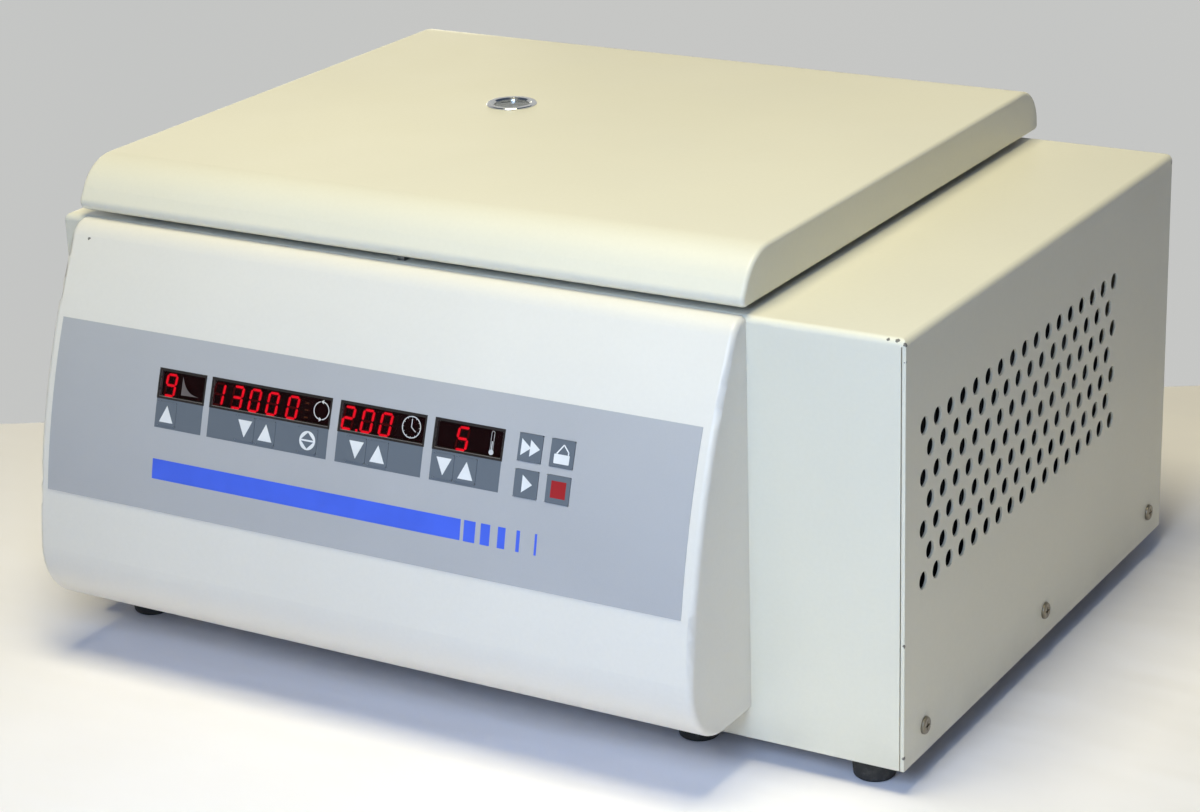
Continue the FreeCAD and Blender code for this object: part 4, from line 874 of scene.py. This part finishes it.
def numeral(text, height):
    """Mesh of one numeral, centred, lying flat."""
    curve = bpy.data.curves.new("numeral", "FONT")
    curve.body = text
    curve.size = height * MM / HEIGHT_SHARE
    curve.align_x = "CENTER"
    curve.align_y = "CENTER"
    curve.extrude = 0.00004
    holder = bpy.data.objects.new("numeral", curve)
    bpy.context.scene.collection.objects.link(holder)
    bpy.context.view_layer.update()
    mesh = bpy.data.meshes.new_from_object(holder.evaluated_get(bpy.context.evaluated_depsgraph_get()))
    bpy.data.objects.remove(holder)
    bpy.data.curves.remove(curve)
    return mesh


def make_rotor_parts():
    """Place numbers on the rim, and the knob's steel cap and socket."""
    bm = bmesh.new()
    for i in range(BORE_COUNT):
        angle = 2 * math.pi * i / BORE_COUNT
        mesh = numeral(str(i + 1), NUMERAL_HEIGHT)
        place = Vector((rotor_x + RIM_MIDDLE * math.cos(angle), rotor_y + RIM_MIDDLE * math.sin(angle),
                        rotor_high.z + 0.03)) * MM
        mesh.transform(Matrix.Translation(place) @ Matrix.Rotation(angle + math.pi / 2, 4, "Z"))
        bm.from_mesh(mesh)
        bpy.data.meshes.remove(mesh)
    piece("rotor_numbers", bm, white_ink, "rotor_assembly")

    bm = bmesh.new()
    centre = (rotor_x, rotor_y, knob_top - 0.35)
    lathe(bm, [(0, 0), (7.6, 0), (7.6, 0.9), (7.1, 1.4), (6.4, 1.5), (6.1, 1.2), (hexagon(3.2), 1.2),
               (hexagon(3.1), 0.45), (0, 0.4)], centre, (0, 0, 1))
    piece("knob_cap", bm, finishes["stainless"], "knob", 30)


# ---------------------------------------------------------------- rear
REAR_SCREW_RADIUS = 3.8
REAR_SCREW_INSET = 8            # from the rear panel's sides
REAR_LOW_SCREWS = (-150, -39, 72, 190)
STUD_AWAY = 26                  # from the power entry's side
ROCKER_AHEAD = 4.0              # the rocker's pivot, from the power entry's rear
ROCKER_HEIGHT = 77.0            # and above the cabinet's base
ROCKER_REST = math.radians(9)


def make_rear_parts():
    """Panel screws and the bonding stud."""
    back = (0, 1, 0)
    y = rear_high.y + SCREW_GAP
    bm = bmesh.new()
    side = rear_high.x - REAR_SCREW_INSET
    places = [(x, z) for x in (-side, side) for z in (base_z + 60, (base_z + deck_z) / 2, deck_z - 26)]
    places += [(x, base_z + 13) for x in REAR_LOW_SCREWS]
    places.append((lid_middle, deck_z - 14))
    for x, z in places:
        pan_screw(bm, (x, y, z), back, REAR_SCREW_RADIUS)
    piece("rear_screws", bm, screw_steel, "cabinet", 30)
    bm = bmesh.new()
    stud = (entry_high.x + STUD_AWAY, y, (entry_low.z + entry_high.z) / 2)
    lathe(bm, [(0, 0), (6.5, 0), (6.5, 0.9), (6.1, 1.1), (hexagon(4.6), 1.1), (hexagon(4.6), 4.4),
               (4.2, 4.9), (2.6, 4.9), (2.45, 5.3), (2.6, 5.7), (2.45, 6.1), (2.6, 6.5), (2.45, 6.9),
               (2.6, 7.3), (2.0, 8.0), (0, 8.1)], stud, back)
    piece("bonding_stud", bm, screw_steel, "cabinet", 30)


def make_rocker_marks():
    """Bar and ring on the rocker's two sloping halves, which meet in a shallow valley."""
    pivot = Vector(((entry_low.x + entry_high.x) / 2, entry_high.y - ROCKER_AHEAD,
                    base_z + ROCKER_HEIGHT))
    rest = Matrix.Rotation(ROCKER_REST, 3, "X")
    marks = bmesh.new()
    for side, outlines in ((1, [rectangle(-0.45, 0.45, -2.4, 2.4)]), (-1, full_ring((0, 0), 2.6, 1.8))):
        up = rest @ Vector((0, 1.6 * side, 11.0)).normalized()
        out = Vector((1, 0, 0)).cross(up) * -1
        middle = pivot + rest @ Vector((0, 2.8, 5.5 * side))
        for outline in outlines:
            places = [middle + Vector((-u, 0, 0)) + up * v for u, v in outline]
            low = [marks.verts.new((p + out * 0.02) * MM) for p in places]
            high = [marks.verts.new((p + out * 0.12) * MM) for p in places]
            marks.faces.new(low)
            marks.faces.new(high)
            for i in range(len(places)):
                j = (i + 1) % len(places)
                marks.faces.new((low[i], low[j], high[j], high[i]))
    piece("rocker_marks", marks, white_ink, "rocker")


# ---------------------------------------------------------------- camera, floor and light
VIEW_AZIMUTH = math.radians(30.85)
VIEW_ELEVATION = math.radians(20.14)
VIEW_ROLL = math.radians(-1.83)
VIEW_DISTANCE = 1.64157         # metres
VIEW_TARGET = Vector((0.09247, front_y * MM, 0.19558))
VIEW_LENS = 90.34
TABLE_BACK = Vector((-0.182, 0.296, 0))     # a place on the table's far edge
TABLE_SIDES = (-0.8, 0.65)      # metres from that place
TABLE_DEPTH = 1.3
ROOM = 5.0                      # half its width, and its depth below the table
WALL_GLOW = 0.56


def make_camera():
    camera = bpy.data.cameras.new("camera")
    camera.lens = VIEW_LENS
    camera.sensor_width = 36.0
    obj = bpy.data.objects.new("camera", camera)
    bpy.context.scene.collection.objects.link(obj)
    flat = math.cos(VIEW_ELEVATION)
    back = Vector((math.sin(VIEW_AZIMUTH) * flat, -math.cos(VIEW_AZIMUTH) * flat, math.sin(VIEW_ELEVATION)))
    right = Vector((math.cos(VIEW_AZIMUTH), math.sin(VIEW_AZIMUTH), 0))
    up = back.cross(right)
    rolled_right = right * math.cos(VIEW_ROLL) + up * math.sin(VIEW_ROLL)
    rolled_up = up * math.cos(VIEW_ROLL) - right * math.sin(VIEW_ROLL)
    turn = Matrix((rolled_right, rolled_up, back)).transposed().to_4x4()
    obj.matrix_world = Matrix.Translation(VIEW_TARGET + back * VIEW_DISTANCE) @ turn
    bpy.context.scene.camera = obj


def cloth_floor():
    """White cloth with soft folds and a few finer creases."""
    f = Finish("floor_cloth")
    f.set(Specular_IOR_Level=0.15)
    shade = varied(f, (0.93, 0.9, 0.93), 0.012, 2.5)
    folds = f.noise(2.6, 2, f.stretched(1.0, 0.6, 1))
    creases = f.noise(6.0, 3, f.stretched(0.5, 1.3, 1), 0.6)
    weave = f.noise(900, 1)
    normal = f.bump(creases, 0.012, 0.6, f.bump(folds, 0.03, 0.8))
    return f.done(shade, f.spread(weave, 0.3, 0.7, 0.85, 0.95), f.bump(weave, 0.0001, 0.3, normal))


def wall_paint():
    """Pale wall, evenly lit by itself."""
    f = Finish("backdrop_wall")
    f.set(Specular_IOR_Level=0.1)
    tone = f.spread(f.noise(0.5, 2), 0.35, 0.65)
    f.feed(f.shader.inputs["Emission Color"], f.mix(tone, (0.96, 0.97, 0.95), (1.0, 1.0, 0.97)))
    f.set(Emission_Strength=WALL_GLOW)
    return f.done(varied(f, (0.1, 0.1, 0.1), 0.02, 1.2), 0.9)


def stage_sheets(name, outlines, finish):
    bm = bmesh.new()
    for outline in outlines:
        bm.faces.new([bm.verts.new(place) for place in outline])
    mesh = bpy.data.meshes.new(name)
    bm.to_mesh(mesh)
    bm.free()
    mesh.materials.append(finish)
    obj = bpy.data.objects.new(name, mesh)
    bpy.context.scene.collection.objects.link(obj)
    return obj


def make_stage():
    """Cloth-covered table square to the view, in a wide pale room that sheds no light on it (metres)."""
    along = Vector((math.cos(VIEW_AZIMUTH), math.sin(VIEW_AZIMUTH), 0))
    away = Vector((-along.y, along.x, 0))

    def place(side, back):
        return TABLE_BACK + along * side + away * back

    left, right = TABLE_SIDES
    table = stage_sheets("floor", [[place(left, -TABLE_DEPTH), place(right, -TABLE_DEPTH), place(right, 0),
                                    place(left, 0)]], cloth_floor())
    corners = [place(-ROOM, -ROOM), place(ROOM, -ROOM), place(ROOM, ROOM), place(-ROOM, ROOM)]
    low = Vector((0, 0, -ROOM))
    walls = [[a + low, b + low, b - low, a - low] for a, b in zip(corners, corners[1:] + corners[:1])]
    ground = [corner + low for corner in corners]
    room = stage_sheets("backdrop", walls + [ground], wall_paint())
    room.visible_diffuse = False


# name, place, target, size, watts, colour
LIGHTS = (
    ("ceiling", (0.06, -0.42, 2.1), (0, 0, 0.2), (0.9, 0.9), 33.5, (1.0, 0.92, 0.6)),
    ("front_window", (0.32, -0.95, 0.62), (0.14, 0, 0.12), (0.42, 0.42), 6.0, (0.5, 0.68, 1.0)),
    ("rear_fill", (-1.3, 1.2, 0.3), (-0.1, 0.2, 0.1), (0.9, 0.4), 3.0, (1.0, 0.93, 0.7)),
)
AIR_COLOUR = (0.5, 0.66, 1.0, 1)
AIR_STRENGTH = 0.12


def area_light(name, place, target, size, power, colour):
    lamp = bpy.data.lights.new(name, "AREA")
    lamp.shape = "RECTANGLE"
    lamp.size, lamp.size_y = size
    lamp.energy = power
    lamp.color = colour
    obj = bpy.data.objects.new(name, lamp)
    bpy.context.scene.collection.objects.link(obj)
    obj.location = place
    obj.rotation_mode = "QUATERNION"
    obj.rotation_quaternion = (Vector(target) - Vector(place)).to_track_quat("-Z", "Y")


def make_light():
    for light in LIGHTS:
        area_light(*light)
    world = bpy.data.worlds.new("studio")
    world.use_nodes = True
    world.node_tree.nodes["Background"].inputs["Color"].default_value = AIR_COLOUR
    world.node_tree.nodes["Background"].inputs["Strength"].default_value = AIR_STRENGTH
    bpy.context.scene.world = world
    bpy.context.scene.view_settings.view_transform = "Standard"


make_camera()
make_stage()
make_light()
dress_nodes()
make_fields()
make_stripe()
make_key_symbols()
make_digits()
make_window_masks()
make_display_icons()
make_deck_parts()
make_lid_screws()
make_rotor_parts()
make_rear_parts()
make_rocker_marks()
